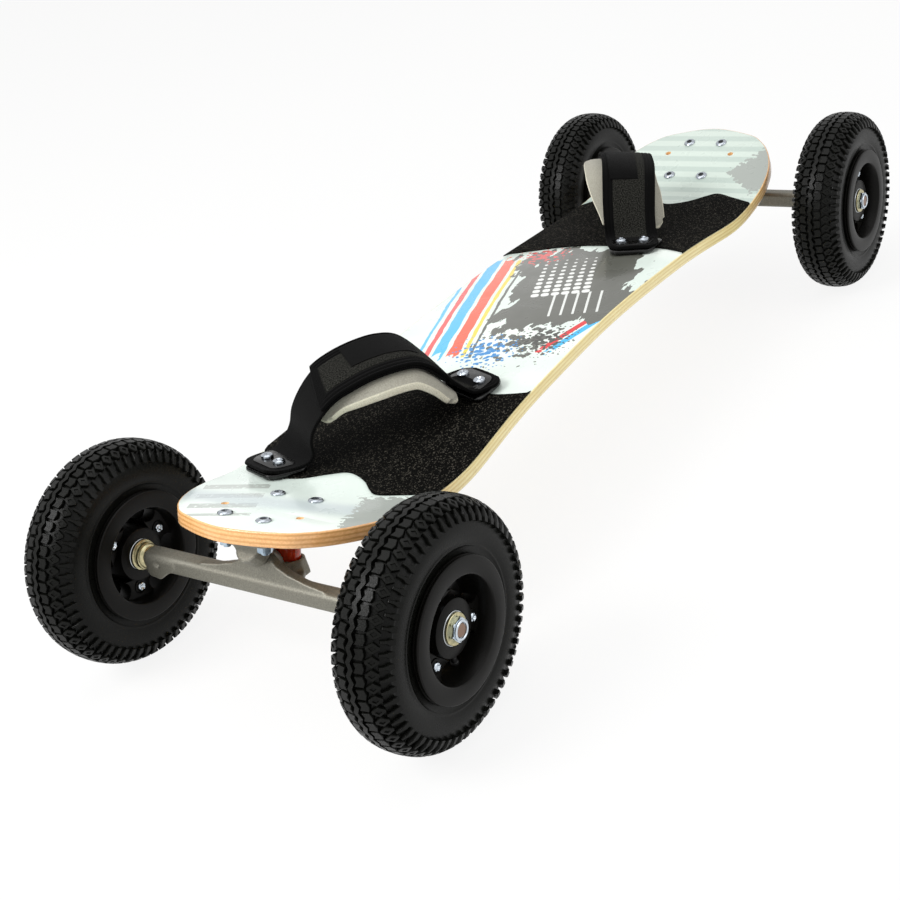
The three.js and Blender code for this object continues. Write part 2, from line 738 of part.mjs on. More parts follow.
// A layer over the deck between two heights above its top face, trimmed to an outline.
function deckLayer(low, high, outline) {
  const band = [...profileRaisedBy(low), ...profileRaisedBy(high).reverse()];
  const slab = across(band, -DECK_HALF_WIDTH - OVERRUN, DECK_HALF_WIDTH + OVERRUN);
  const trim = raised(outline, 0, archTop + TYRE_RADIUS);
  return solid(slab).intersect(solid(trim));
}

const scaleShares = (shares) => shares.map(([x, y]) => [x * HALF_DECK, y * DECK_HALF_WIDTH]);

function deckOutline() {
  const knots = scaleShares(DECK_OUTLINE_SHARES).map(([x, y]) => new THREE.Vector2(x, y));
  const quarter = new THREE.SplineCurve(knots).getSpacedPoints(OUTLINE_STEPS);
  const left = quarter.slice(0, -1).map((p) => [p.x, p.y]);
  const right = quarter.slice(1).reverse().map((p) => [p.x, -p.y]);
  const frontHalf = [...left, ...right];
  return [...frontHalf, ...frontHalf.map(([x, y]) => [-x, -y])];
}

function gripOutline(end) {
  const edge = (shares) => {
    const knots = scaleShares(shares).map(([x, y]) => new THREE.Vector2(end * x, y));
    return new THREE.SplineCurve(knots).getPoints(GRIP_EDGE_STEPS).map((p) => [p.x, p.y]);
  };
  return [...edge(GRIP_OUTER_EDGE_SHARES), ...edge(GRIP_INNER_EDGE_SHARES)];
}

// A bar standing square to the deck's top face, from one height above it to another.
function deckBar(x, y, radius, low, high, sides) {
  const { height, slope } = deckTop(x);
  return bar(radius, low, high, sides)
    .rotateY(-Math.atan(slope))
    .translate(x, y, height);
}

// A binding's frame: X along the strap from the anchor near the tip, Y along the foot.
function bindingFrame(end) {
  const angle = Math.atan2(ANCHOR_SPAN_ACROSS, -end * ANCHOR_SPAN_ALONG);
  return new THREE.Matrix4()
    .makeRotationZ(angle)
    .setPosition(end * ANCHOR_TIP_ALONG, ANCHOR_TIP_ACROSS, 0);
}
const inFrame = (frame, s, n) => new THREE.Vector3(s, n, 0).applyMatrix4(frame);

// The bolts of the two anchors, as places along the strap and along the foot.
const anchorBolts = [0, SPAN].map((s, i) =>
  [-1, 1].map((side) => [s, (side * ANCHOR_BOLT_SPACINGS[i]) / 2]),
);

const ENDS = { front: 1, rear: -1 };
const deckHoleTop = DECK_THICKNESS + OVERRUN;

function deckHoles() {
  const holes = [];
  const drill = (x, y, radius) =>
    holes.push(solid(deckBar(x, y, boreRadius(radius, HEX), -deckHoleTop, OVERRUN, HEX)));
  for (const end of Object.values(ENDS)) {
    const frame = bindingFrame(end);
    for (const [s, n] of anchorBolts.flat()) {
      const place = inFrame(frame, s, n);
      drill(place.x, place.y, ANCHOR_BOLT_RADIUS);
    }
    for (const side of [-1, 1]) {
      for (const way of [-1, 1]) {
        const bolt = onBoard((way * BOLT_SPACING_ALONG) / 2, DECK_THICKNESS);
        drill(end * bolt.x, (side * BOLT_SPACING_ACROSS) / 2, DECK_BOLT_RADIUS);
      }
      const spare = onBoard(SPARE_HOLE_OUTBOARD, DECK_THICKNESS);
      drill(end * spare.x, side * SPARE_HOLE_ACROSS, SPARE_HOLE_RADIUS);
    }
  }
  return holes;
}

const holes = deckHoles();
const outline = deckOutline();
add('deck', meshed(cut(deckLayer(-DECK_THICKNESS, 0, outline), ...holes)), FINISHES.maple);

for (const [name, end] of Object.entries(ENDS)) {
  const sheet = deckLayer(CLEARANCE, GRIP_TOP, gripOutline(end));
  const trim = raised(outline, 0, archTop + TYRE_RADIUS);
  const grip = cut(sheet.intersect(solid(trim)), ...holes);
  add(`grip_${name}`, meshed(grip), FINISHES.grip);
}

// Bindings.
function strapPath(frame) {
  const tabAt = (s) => {
    const { height, slope } = deckTop(inFrame(frame, s, 0).x);
    return height + TAB_TOP * Math.hypot(1, slope);
  };
  const line = (share) => tabAt(0) + STRAP_THICKNESS + share * (tabAt(SPAN) - tabAt(0));
  const upper = STRAP_THICKNESS + STRAP_GAP;
  const points = [
    [-TAB_LENGTH, tabAt(-TAB_LENGTH) + upper],
    [0, tabAt(0) + upper],
    [TAB_FOLD_SHARE * SPAN, tabAt(TAB_FOLD_SHARE * SPAN) + upper + TAB_FOLD_LIFT],
    ...STRAP_PATH_SHARES.map(([share, rise]) => [share * SPAN, line(share) + rise * STRAP_RISE]),
    [TAB_FOLD_END_SHARE * SPAN, tabAt(TAB_FOLD_END_SHARE * SPAN) + TAB_FOLD_LIFT],
    [SPAN, tabAt(SPAN)],
    [SPAN + TAB_LENGTH, tabAt(SPAN + TAB_LENGTH)],
  ].map(([s, z]) => new THREE.Vector3(s, 0, z));
  return new THREE.CatmullRomCurve3(points, false, 'centripetal');
}

// Goes smoothly from 0 to 1 between two shares.
const ease = (share, from, to) => THREE.MathUtils.smoothstep(share, from, to);

// A soft sheet that follows the strap path. Its top lies a given depth under the path, and
// its tabs follow the deck. The heel's side, 1 or -1 along the foot, is the higher one.
// Width, thickness and droop are given for each share of the way.
function sheetOnPath(frame, path, heelSide, sheet) {
  const loops = [];
  for (let step = 0; step <= sheet.steps; step++) {
    const share = sheet.from + ((sheet.to - sheet.from) * step) / sheet.steps;
    const spot = path.getPointAt(share);
    const run = path.getTangentAt(share);
    const normal = new THREE.Vector3(-run.z, 0, run.x);
    const halfWidth = sheet.widthAt(share) / 2;
    const thickness = sheet.thicknessAt(share);
    const [startFrom, startTo, endFrom, endTo] = TAB_EASE_SHARES;
    const onTab = 1 - ease(share, startFrom, startTo) + ease(share, endFrom, endTo);
    const [crownFrom, crownTo, fallFrom, fallTo] = TILT_SHARES;
    const lean = ease(share, crownFrom, crownTo) - ease(share, fallFrom, fallTo);
    const tilt = heelSide * Math.tan(TOE_TILT) * lean;
    const column = (i, depth) => {
      const v = -1 + (2 * i) / (sheet.columns - 1);
      const sink = depth + sheet.droop * v * v * v * v;
      const place = spot.clone().addScaledVector(normal, -sink);
      place.y = v * halfWidth;
      const level = deckTop(inFrame(frame, place.x, place.y).x).height;
      place.z += onTab * (level - deckTop(inFrame(frame, place.x, 0).x).height);
      place.z += tilt * place.y;
      return place.toArray();
    };
    const order = Array.from({ length: sheet.columns }, (_, i) => i);
    loops.push([
      ...order.map((i) => column(i, sheet.depth)),
      ...order.reverse().map((i) => column(i, sheet.depth + thickness)),
    ]);
  }
  return skin(loops, false);
}

function strapWidth(crownWidth) {
  const [tabEnd, wideFrom, wideTo, tabStart] = WIDENING_SHARES;
  return (share) => {
    const wide = Math.min(ease(share, tabEnd, wideFrom), 1 - ease(share, wideTo, tabStart));
    return STRAP_TAB_WIDTH + (crownWidth - STRAP_TAB_WIDTH) * wide;
  };
}

function addBinding(name, end) {
  const frame = bindingFrame(end);
  const path = strapPath(frame);
  const boltCutters = anchorBolts.flat().map(([s, n]) => {
    const place = inFrame(frame, s, n);
    const radius = boreRadius(ANCHOR_BOLT_RADIUS, HEX);
    return solid(deckBar(place.x, place.y, radius, 0, TAB_TOP + OVERRUN, HEX));
  });
  const onDeck = (geometry) => solid(geometry.applyMatrix4(frame));
  const strap = (from, to, depth, width) =>
    sheetOnPath(frame, path, -end, {
      from,
      to,
      depth,
      steps: STRAP_STEPS,
      columns: STRAP_COLUMNS,
      droop: 0,
      widthAt: strapWidth(width),
      thicknessAt: () => STRAP_THICKNESS,
    });
  const under = STRAP_THICKNESS + STRAP_GAP;
  const understrap = strap(0, UNDERSTRAP_END_SHARE, under, UNDERSTRAP_WIDTH);
  const flap = strap(FLAP_START_SHARE, 1, 0, STRAP_WIDTH);
  const padShape = (share, endShare) => {
    const way = (share - PAD_START_SHARE) / (PAD_END_SHARE - PAD_START_SHARE);
    return endShare + (1 - endShare) * Math.sqrt(Math.max(Math.sin(Math.PI * way), 0));
  };
  const pad = sheetOnPath(frame, path, -end, {
    from: PAD_START_SHARE,
    to: PAD_END_SHARE,
    depth: STRAP_LAYERS * under,
    steps: PAD_STEPS,
    columns: PAD_COLUMNS,
    droop: PAD_DROOP,
    widthAt: (share) => PAD_WIDTH * padShape(share, PAD_END_WIDTH_SHARE),
    thicknessAt: (share) => PAD_THICKNESS * padShape(share, PAD_END_THICKNESS_SHARE),
  });
  add(`strap_${name}`, meshed(cut(onDeck(understrap), ...boltCutters)), FINISHES.webbing);
  add(`strap_flap_${name}`, meshed(cut(onDeck(flap), ...boltCutters)), FINISHES.webbing);
  add(`pad_${name}`, meshed(onDeck(pad)), FINISHES.foam);

  [['tip', 0], ['centre', SPAN]].forEach(([side, s], i) => {
    const corners = roundedRectangle(ANCHOR_LENGTH, ANCHOR_WIDTH, ANCHOR_CORNER, CORNER_STEPS);
    const plan = corners.map(([x, y]) => {
      const place = inFrame(frame, s + x, y);
      return [place.x, place.y];
    });
    let anchor = deckLayer(ANCHOR_BOTTOM, ANCHOR_TOP, plan);
    for (const [boltS, boltN] of anchorBolts[i]) {
      const { x, y } = inFrame(frame, boltS, boltN);
      const foot = ANCHOR_BOLT_STOP - DECK_THICKNESS;
      const seat = TAB_TOP + ANCHOR_BOLT_SEAT_GAP;
      const shank = deckBar(x, y, ANCHOR_BOLT_RADIUS, foot, seat + CLEARANCE, HEX);
      const headTop = seat + ANCHOR_BOLT_HEAD_HEIGHT;
      const head = deckBar(x, y, ANCHOR_BOLT_HEAD_RADIUS, seat, headTop, HEX);
      anchor = joined(anchor, solid(shank), solid(head));
    }
    add(`anchor_${side}_${name}`, meshed(anchor), FINISHES.anchor);
  });
}

// Trucks. The pieces fixed to the deck are made in its tip's frame, the hanger about the
// axle. The steering axis runs from the pivot down and inboard to the middle of the ring.
const pivotSpot = fromAxle(PIVOT_OUTBOARD, -PIVOT_DEPTH);
const ringSpot = fromAxle(-KINGPIN_INBOARD, -RING_DEPTH);
const steerLength = pivotSpot.distanceTo(ringSpot);
const steer = pivotSpot.clone().sub(ringSpot).normalize();

const tipFrame = new THREE.Matrix4().makeRotationY(-TIP_ANGLE);
const mountSpot = fromAxle(0, 0);
tipFrame.setPosition(mountSpot.x, 0, mountSpot.y);
const fromTipFrame = tipFrame.clone().invert();

// Carries a bar made along Z onto the steering axis, with its zero at the pivot.
function onSteeringAxis(geometry) {
  const turn = new THREE.Matrix4().makeRotationY(Math.atan2(steer.x, steer.y));
  return geometry.applyMatrix4(turn.setPosition(pivotSpot.x, 0, pivotSpot.y));
}

const bushingTop = -KINGPIN_BOSS_DEPTH - CLEARANCE;
const upperSeat = -(RING_DEPTH - RING_THICKNESS / 2);
const lowerSeat = -(RING_DEPTH + RING_THICKNESS / 2);
const lowerBushingTop = lowerSeat - CLEARANCE;
const lowerBushingEnd = lowerBushingTop - LOWER_BUSHING_LENGTH;

function baseplateGeometry() {
  const under = -CLEARANCE;
  const corners = roundedRectangle(PLATE_LENGTH, PLATE_WIDTH, PLATE_CORNER, CORNER_STEPS);
  const plate = raised(corners, under - PLATE_THICKNESS, under);
  const boss = turnedUpright(
    [
      [0, -KINGPIN_BOSS_DEPTH],
      [0, under],
      [KINGPIN_BOSS_FOOT, under],
      [KINGPIN_BOSS_RADIUS, -KINGPIN_BOSS_DEPTH],
    ],
    HOUSING_STEPS,
  ).translate(-KINGPIN_INBOARD, 0, 0);
  const inTipFrame = (geometry) => onSteeringAxis(geometry).applyMatrix4(fromTipFrame);
  const housing = inTipFrame(
    bar(HOUSING_RADIUS, -HOUSING_MOUTH, HOUSING_LENGTH - HOUSING_MOUTH, HOUSING_STEPS),
  );
  const flankSection = (z, halfWidth, from, to) => [
    [from, -halfWidth, z],
    [to, -halfWidth, z],
    [to, halfWidth, z],
    [from, halfWidth, z],
  ];
  const flank = skin(
    [
      flankSection(
        -PIVOT_DEPTH - FLANK_DROP,
        FLANK_FOOT_HALF_WIDTH,
        PIVOT_OUTBOARD - CLEARANCE,
        PIVOT_OUTBOARD + FLANK_FOOT_LENGTH,
      ),
      flankSection(
        under - PLATE_THICKNESS / 2,
        HOUSING_TOP_HALF_WIDTH,
        HOUSING_TOP_INBOARD,
        HOUSING_TOP_OUTBOARD,
      ),
    ],
    false,
  );
  const mouthCut = inTipFrame(
    bar(HOUSING_RADIUS + OVERRUN, -HOUSING_MOUTH - HOUSING_LENGTH, -HOUSING_MOUTH, HOUSING_STEPS),
  );
  const cupBore = inTipFrame(
    bar(
      boreRadius(CUP_RADIUS, CUP_STEPS),
      -HOUSING_LENGTH,
      CUP_LENGTH - HOUSING_MOUTH + CLEARANCE,
      CUP_STEPS,
    ),
  );
  const kingpinBore = bar(
    boreRadius(KINGPIN_RADIUS, KINGPIN_SIDES),
    -KINGPIN_BOSS_DEPTH - OVERRUN,
    OVERRUN,
    KINGPIN_SIDES,
  ).translate(-KINGPIN_INBOARD, 0, 0);
  const headPocket = bar(
    boreRadius(KINGPIN_HEAD_RADIUS, KINGPIN_SIDES),
    under - CLEARANCE - KINGPIN_HEAD_HEIGHT,
    OVERRUN,
    KINGPIN_SIDES,
  ).translate(-KINGPIN_INBOARD, 0, 0);
  let body = cut(
    joined(cut(joined(solid(flank), solid(housing)), solid(mouthCut)), solid(plate), solid(boss)),
    solid(cupBore),
    solid(kingpinBore),
    solid(headPocket),
  );
  for (const way of [-1, 1]) {
    for (const side of [-1, 1]) {
      const place = [(way * BOLT_SPACING_ALONG) / 2, (side * BOLT_SPACING_ACROSS) / 2, 0];
      const seat = DECK_THICKNESS + CLEARANCE;
      const nutSeat = under - PLATE_THICKNESS;
      const shank = bar(DECK_BOLT_RADIUS, nutSeat, seat + CLEARANCE, HEX);
      const head = bar(
        DECK_BOLT_HEAD_RADIUS,
        seat,
        seat + DECK_BOLT_HEAD_HEIGHT,
        DECK_BOLT_SIDES,
      );
      const nut = bar(DECK_NUT_RADIUS, nutSeat - DECK_NUT_HEIGHT, nutSeat + CLEARANCE, HEX);
      const bolt = [shank, head, nut].map((piece) => solid(piece.translate(...place)));
      body = joined(body, ...bolt);
    }
  }
  return meshed(body);
}

function kingpinGeometry() {
  const headTop = -KINGPIN_HEAD_SINK;
  const washerTop = lowerBushingEnd - CLEARANCE;
  const nutTop = washerTop - KINGPIN_WASHER_THICKNESS;
  const nutEnd = nutTop - KINGPIN_NUT_HEIGHT;
  const pieces = [
    bar(KINGPIN_RADIUS, nutEnd - CLEARANCE, headTop - CLEARANCE, KINGPIN_SIDES),
    bar(KINGPIN_HEAD_RADIUS, headTop - KINGPIN_HEAD_HEIGHT, headTop, HEX),
    bar(KINGPIN_WASHER_RADIUS, nutTop, washerTop, KINGPIN_SIDES),
    bar(KINGPIN_NUT_RADIUS, nutEnd, nutTop + CLEARANCE, HEX),
  ].map((piece) => solid(piece.translate(-KINGPIN_INBOARD, 0, 0)));
  return meshed(joined(...pieces));
}

// A bushing about the kingpin, from its wide end to its other end.
function bushingGeometry(wideEnd, otherEnd, otherRadius) {
  const bore = boreRadius(KINGPIN_RADIUS, KINGPIN_SIDES);
  const middle = (wideEnd + otherEnd) / 2;
  const middleRadius = (BUSHING_RADIUS + otherRadius) / 2 + BUSHING_BULGE;
  const section = [
    [bore, wideEnd],
    [BUSHING_RADIUS, wideEnd],
    [middleRadius, middle],
    [otherRadius, otherEnd],
    [bore, otherEnd],
  ];
  const ring = turnedUpright(section, KINGPIN_SIDES);
  return meshed(solid(ring.translate(-KINGPIN_INBOARD, 0, 0)));
}

function pivotCupGeometry() {
  const pin = CUP_RADIUS - CUP_WALL;
  const cup = bar(CUP_RADIUS, -HOUSING_MOUTH, CUP_LENGTH - HOUSING_MOUTH, CUP_STEPS);
  const hole = bar(
    boreRadius(pin, CUP_STEPS),
    -HOUSING_LENGTH,
    CUP_LENGTH - HOUSING_MOUTH - CUP_WALL,
    CUP_STEPS,
  );
  const body = cut(solid(onSteeringAxis(cup)), solid(onSteeringAxis(hole)));
  return meshed(body);
}

// The lug under one end of the bar, as an outline in Y and Z.
function lugOutline(side) {
  const end = HANGER_HALF_LENGTH;
  const points = [
    [end, BAR_FACE / 2],
    [end, LUG_CORNER - LUG_DEPTH],
    [end - LUG_CORNER / 2, LUG_CORNER_RISE - LUG_DEPTH],
    [end - LUG_TIP_INSET, -LUG_DEPTH],
    [end - LUG_LENGTH, 0],
    [end - LUG_LENGTH, BAR_FACE / 2],
  ];
  return points.map(([y, z]) => [side * y, z]);
}

function hangerGeometry() {
  const section = [
    [-BAR_BACK, -BAR_HALF_HEIGHT + BAR_CHAMFER],
    [-BAR_BACK + BAR_CHAMFER, -BAR_HALF_HEIGHT],
    [BAR_FACE - BAR_UNDERCUT, -BAR_HALF_HEIGHT],
    [BAR_FACE, BAR_UNDERCUT - BAR_HALF_HEIGHT],
    [BAR_FACE, BAR_HALF_HEIGHT - BAR_CHAMFER],
    [BAR_FACE - BAR_CHAMFER, BAR_HALF_HEIGHT],
    [-BAR_BACK + BAR_CHAMFER, BAR_HALF_HEIGHT],
    [-BAR_BACK, BAR_HALF_HEIGHT - BAR_CHAMFER],
  ];
  const beam = across(section, -HANGER_HALF_LENGTH, HANGER_HALF_LENGTH);

  const webSide = new THREE.QuadraticBezierCurve(
    new THREE.Vector2(WEB_FOOT_HALF_WIDTH, BAR_HALF_HEIGHT),
    new THREE.Vector2(WEB_WAIST_HALF_WIDTH, WEB_WAIST_RISE),
    new THREE.Vector2(WEB_TOP_HALF_WIDTH, WEB_TOP_RISE),
  );
  const webHalf = [[WEB_FOOT_HALF_WIDTH, 0], ...webSide.getPoints(WEB_STEPS).map((p) => p.toArray())];
  const webOutline = [...webHalf, ...webHalf.map(([y, z]) => [-y, z]).reverse()];
  const web = along(webOutline, -WEB_BACK, WEB_FRONT).rotateY(WEB_LEAN);

  const mouth = -HOUSING_MOUTH - CLEARANCE;
  const neck = onSteeringAxis(
    turnedUpright(
      [
        [0, mouth],
        [NECK_RADIUS, mouth],
        [NECK_WAIST_RADIUS, (mouth - steerLength) / 2],
        [NECK_WAIST_RADIUS, -steerLength],
        [0, -steerLength],
      ],
      HOUSING_STEPS,
    ),
  );
  const swing = onSteeringAxis(
    bar(HOUSING_RADIUS + OVERRUN, mouth, HOUSING_LENGTH, HOUSING_STEPS),
  );
  const pin = onSteeringAxis(
    bar(
      CUP_RADIUS - CUP_WALL,
      mouth - CLEARANCE,
      CUP_LENGTH - HOUSING_MOUTH - CUP_WALL - CLEARANCE,
      CUP_STEPS,
    ),
  );

  const onKingpin = (geometry) => geometry.translate(-KINGPIN_INBOARD, 0, 0).applyMatrix4(tipFrame);
  const seatRadius = boreRadius(BUSHING_RADIUS + BUSHING_BULGE, CAST_RING_STEPS);
  const rim = seatRadius + RING_RIM;
  const ringTop = upperSeat + SEAT_DEPTH;
  const ringEnd = lowerSeat - SEAT_DEPTH;
  const ring = onKingpin(
    turnedUpright(
      [
        [0, ringEnd],
        [0, ringTop],
        [rim, ringTop],
        [rim + RING_RIM / 2, (ringTop + upperSeat) / 2 - SEAT_DEPTH],
        [rim + RING_FLARE, ringTop - RING_FLARE_DEPTH],
        [rim, ringEnd],
      ],
      CAST_RING_STEPS,
    ),
  );
  const gussetFoot = [AXLE_OUTBOARD + KINGPIN_INBOARD, GUSSET_FOOT_HALF_WIDTH];
  const gussetTop = [0, rim + RING_FLARE];
  const gussetHalf = [gussetFoot, gussetTop];
  const gussets = onKingpin(
    raised(
      [...gussetHalf, ...gussetHalf.map(([x, y]) => [x, -y]).reverse()],
      ringEnd,
      -GUSSET_TOP_DEPTH,
    ),
  );
  const upperRecess = onKingpin(bar(seatRadius, upperSeat, bushingTop, CAST_RING_STEPS));
  const lowerRecess = onKingpin(bar(seatRadius, ringEnd - OVERRUN, lowerSeat, CAST_RING_STEPS));
  const bore = onKingpin(bar(RING_BORE_RADIUS, ringEnd, ringTop, KINGPIN_SIDES));

  const axleHole = bar(
    axleBore,
    -HANGER_HALF_LENGTH - OVERRUN,
    HANGER_HALF_LENGTH + OVERRUN,
    AXLE_SIDES,
  ).rotateX(Math.PI / 2);

  const castings = [solid(beam), solid(web), solid(neck), solid(ring), solid(gussets)];
  const holes = [];
  for (const side of [-1, 1]) {
    castings.push(solid(along(lugOutline(side), LUG_BACK, LUG_FACE)));
    const screwY = side * (HANGER_HALF_LENGTH - LOCK_SCREW_INSET);
    const socket = bar(LOCK_SCREW_RADIUS, LUG_FACE - LOCK_SCREW_RECESS, LUG_FACE + OVERRUN, HEX);
    const drilling = bar(LUG_HOLE_RADIUS, LUG_FACE - LUG_HOLE_DEPTH, LUG_FACE + OVERRUN, HEX);
    holes.push(solid(socket.rotateY(Math.PI / 2).translate(0, screwY, 0)));
    holes.push(
      solid(drilling.rotateY(Math.PI / 2).translate(0, screwY, LUG_HOLE_RISE - LUG_DEPTH)),
    );
  }
  const casting = cut(
    joined(...castings),
    solid(swing),
    solid(upperRecess),
    solid(lowerRecess),
    solid(bore),
    solid(axleHole),
    ...holes,
  );
  return meshed(joined(casting, solid(pin)));
}

const axleHalfLength =
  HALF_TRACK + BEARING_FACE + CLEARANCE + WASHER_THICKNESS + NUT_HEIGHT + NUT_COLLAR_HEIGHT / 2;
const truckPieces = {
  baseplate: [baseplateGeometry(), FINISHES.casting, true],
  kingpin: [kingpinGeometry(), FINISHES.steel, true],
  bushing_upper: [
    bushingGeometry(upperSeat + CLEARANCE, bushingTop, BUSHING_RADIUS),
    FINISHES.urethane,
    true,
  ],
  bushing_lower: [
    bushingGeometry(lowerBushingTop, lowerBushingEnd, BUSHING_NOSE_RADIUS),
    FINISHES.urethane,
    true,
  ],
  pivot_cup: [pivotCupGeometry(), FINISHES.urethane, false],
  hanger: [hangerGeometry(), FINISHES.casting, false],
  axle: [
    bar(AXLE_RADIUS, -axleHalfLength, axleHalfLength, AXLE_SIDES).rotateX(Math.PI / 2),
    FINISHES.steel,
    false,
  ],
};

for (const [name, end] of Object.entries(ENDS)) {
  addBinding(name, end);

  const truck = new THREE.Group();
  truck.position.set(end * HALF_WHEELBASE, 0, AXLE_HEIGHT);
  truck.rotation.z = end > 0 ? 0 : Math.PI;
  const deckSide = new THREE.Group();
  deckSide.applyMatrix4(tipFrame);
  truck.add(deckSide);
  board.add(truck);
  for (const [piece, [shape, material, onTip]] of Object.entries(truckPieces)) {
    add(`${piece}_${name}`, shape, material, onTip ? deckSide : truck);
  }

  for (const [side, sign] of Object.entries({ left: 1, right: -1 })) {
    const corner = `${name}_${side}`;
    const station = new THREE.Group();
    station.position.set(end * HALF_WHEELBASE, sign * HALF_TRACK, AXLE_HEIGHT);
    station.rotation.z = sign > 0 ? 0 : Math.PI;
    const wheel = new THREE.Group();
    wheel.rotation.y = THREE.MathUtils.degToRad(WHEEL_SPIN_DEGREES[corner]);
    station.add(wheel);
    board.add(station);
    add(`axle_nut_${corner}`, nutGeometry, FINISHES.steel, station);
    add(`axle_spacer_${corner}`, spacerGeometry, FINISHES.zinc, station);
    for (const [piece, [shape, material]] of Object.entries(wheelPieces)) {
      add(`${piece}_${corner}`, shape, material, wheel);
    }
  }
}

export default board;
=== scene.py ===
"""A mountainboard in the photograph's view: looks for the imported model, in metres, +Z up."""

import math
from functools import partial
from itertools import accumulate

import bmesh
import bpy
from mathutils import Matrix, Vector


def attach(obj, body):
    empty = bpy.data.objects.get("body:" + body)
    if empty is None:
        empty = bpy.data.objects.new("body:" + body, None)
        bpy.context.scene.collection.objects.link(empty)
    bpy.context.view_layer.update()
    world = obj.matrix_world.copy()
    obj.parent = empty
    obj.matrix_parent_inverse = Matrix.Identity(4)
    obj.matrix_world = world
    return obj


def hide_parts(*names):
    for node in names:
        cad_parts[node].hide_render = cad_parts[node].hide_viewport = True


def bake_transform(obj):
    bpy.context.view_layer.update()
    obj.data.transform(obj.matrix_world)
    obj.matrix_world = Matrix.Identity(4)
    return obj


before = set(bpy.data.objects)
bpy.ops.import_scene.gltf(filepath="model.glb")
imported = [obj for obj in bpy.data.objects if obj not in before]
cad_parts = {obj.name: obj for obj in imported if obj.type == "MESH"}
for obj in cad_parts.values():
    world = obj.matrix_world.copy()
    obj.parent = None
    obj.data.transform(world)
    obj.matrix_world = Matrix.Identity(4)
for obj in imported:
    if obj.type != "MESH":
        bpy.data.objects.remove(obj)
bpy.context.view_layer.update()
scene = bpy.context.scene
scene.view_settings.view_transform = "Standard"

# Camera. It stands behind the rear truck, above the deck and a little to its right, and it
# is rolled clockwise, as the board leans in the photograph.
CAMERA_PLACE = Vector((-1.1011, -0.7698, 0.7173))
CAMERA_YAW = math.radians(39.4)
CAMERA_DOWN = math.radians(27.88)
CAMERA_ROLL = math.radians(-12.27)
CAMERA_LENS_MM = 57.7
CAMERA_SENSOR_MM = 36

level = math.cos(CAMERA_DOWN)
forward = Vector((level * math.cos(CAMERA_YAW), level * math.sin(CAMERA_YAW), -math.sin(CAMERA_DOWN)))
level_right = Vector((math.sin(CAMERA_YAW), -math.cos(CAMERA_YAW), 0))
level_up = level_right.cross(forward)
right = math.cos(CAMERA_ROLL) * level_right + math.sin(CAMERA_ROLL) * level_up
up = math.cos(CAMERA_ROLL) * level_up - math.sin(CAMERA_ROLL) * level_right
lens = bpy.data.cameras.new("camera")
lens.lens = CAMERA_LENS_MM
lens.sensor_width = CAMERA_SENSOR_MM
camera = bpy.data.objects.new("camera", lens)
camera.matrix_world = Matrix.Translation(CAMERA_PLACE) @ Matrix((right, up, -forward)).transposed().to_4x4()
scene.collection.objects.link(camera)
scene.camera = camera


# Studio. A white floor and a white surround, with one broad soft lamp from the upper left
# and a weaker one from the right, so that the black pieces keep their highlights.
FLOOR_HALF = 6.0
FLOOR_WHITE = 0xF4F4F2
PURE_WHITE = 0xFFFFFF
FLOOR_GLOW_SHARE = 0.88
SURROUND_STRENGTH = 0.5
LAMPS = {
    "key": ((-1.9, 0.9, 2.0), 1.2, 58),
    "fill": ((0.4, -2.4, 1.5), 1.8, 14),
    "top": ((0.0, 0.2, 2.8), 2.2, 22),
}
# What the second word of a node's kind sets on it.
NODE_MODES = {"Math": "operation", "Mix": "data_type", "MapRange": "interpolation_type"}


def linear(colour):
    """An sRGB hex colour as linear red, green, blue and alpha."""
    shares = [(colour >> shift & 255) / 255 for shift in (16, 8, 0)]
    return [c / 12.92 if c <= 0.04045 else ((c + 0.055) / 1.055) ** 2.4 for c in shares] + [1]


def feed(inlet, value):
    """Links a node's input to a socket, or sets its value: a colour is given in sRGB hex."""
    if isinstance(value, bpy.types.NodeSocket):
        inlet.id_data.links.new(value, inlet)
    else:
        inlet.default_value = linear(value) if inlet.type == "RGBA" else value


def add_node(material, kind, *inputs, outlet=None, **settings):
    """Adds a shader node and gives its first output in use, or the one that is named.

    A second word in the kind is the node's mode. The inputs are values or sockets, in the
    order of the node's own or in a dict by name.
    """
    kind, *mode = kind.split()
    made = material.node_tree.nodes.new("ShaderNode" + kind)
    if mode:
        setattr(made, NODE_MODES[kind], mode[0])
    for name, value in settings.items():
        setattr(made, name, value)
    if inputs and isinstance(inputs[0], dict):
        pairs = [(made.inputs[name], value) for name, value in inputs[0].items()]
    else:
        pairs = zip([inlet for inlet in made.inputs if inlet.enabled], inputs)
    for inlet, value in pairs:
        feed(inlet, value)
    return made.outputs[outlet] if outlet else next(socket for socket in made.outputs if socket.enabled)


def seen_rays(material):
    """One for what the camera sees, straight or in metal or through glass, and nought for light."""
    rays = add_node(material, "LightPath").node.outputs
    seen = add_node(material, "Math MAXIMUM", rays["Is Camera Ray"], rays["Is Glossy Ray"])
    return add_node(material, "Math MAXIMUM", seen, rays["Is Transmission Ray"])


def shade(material, inputs):
    """Sets or links inputs of a material's shader."""
    for name, value in inputs.items():
        feed(material.node_tree.nodes["Principled BSDF"].inputs[name], value)


def finish(name, colour, roughness, metallic=0.0, inputs=()):
    """A material with its shader."""
    material = bpy.data.materials.new(name)
    material.use_nodes = True
    shade(material, {"Base Color": colour, "Roughness": roughness, "Metallic": metallic, **dict(inputs)})
    return material


def mesh_object(bm, name):
    """Makes a working mesh an object in the scene."""
    mesh = bpy.data.meshes.new(name)
    bm.to_mesh(mesh)
    bm.free()
    made = bpy.data.objects.new(name, mesh)
    scene.collection.objects.link(made)
    return made


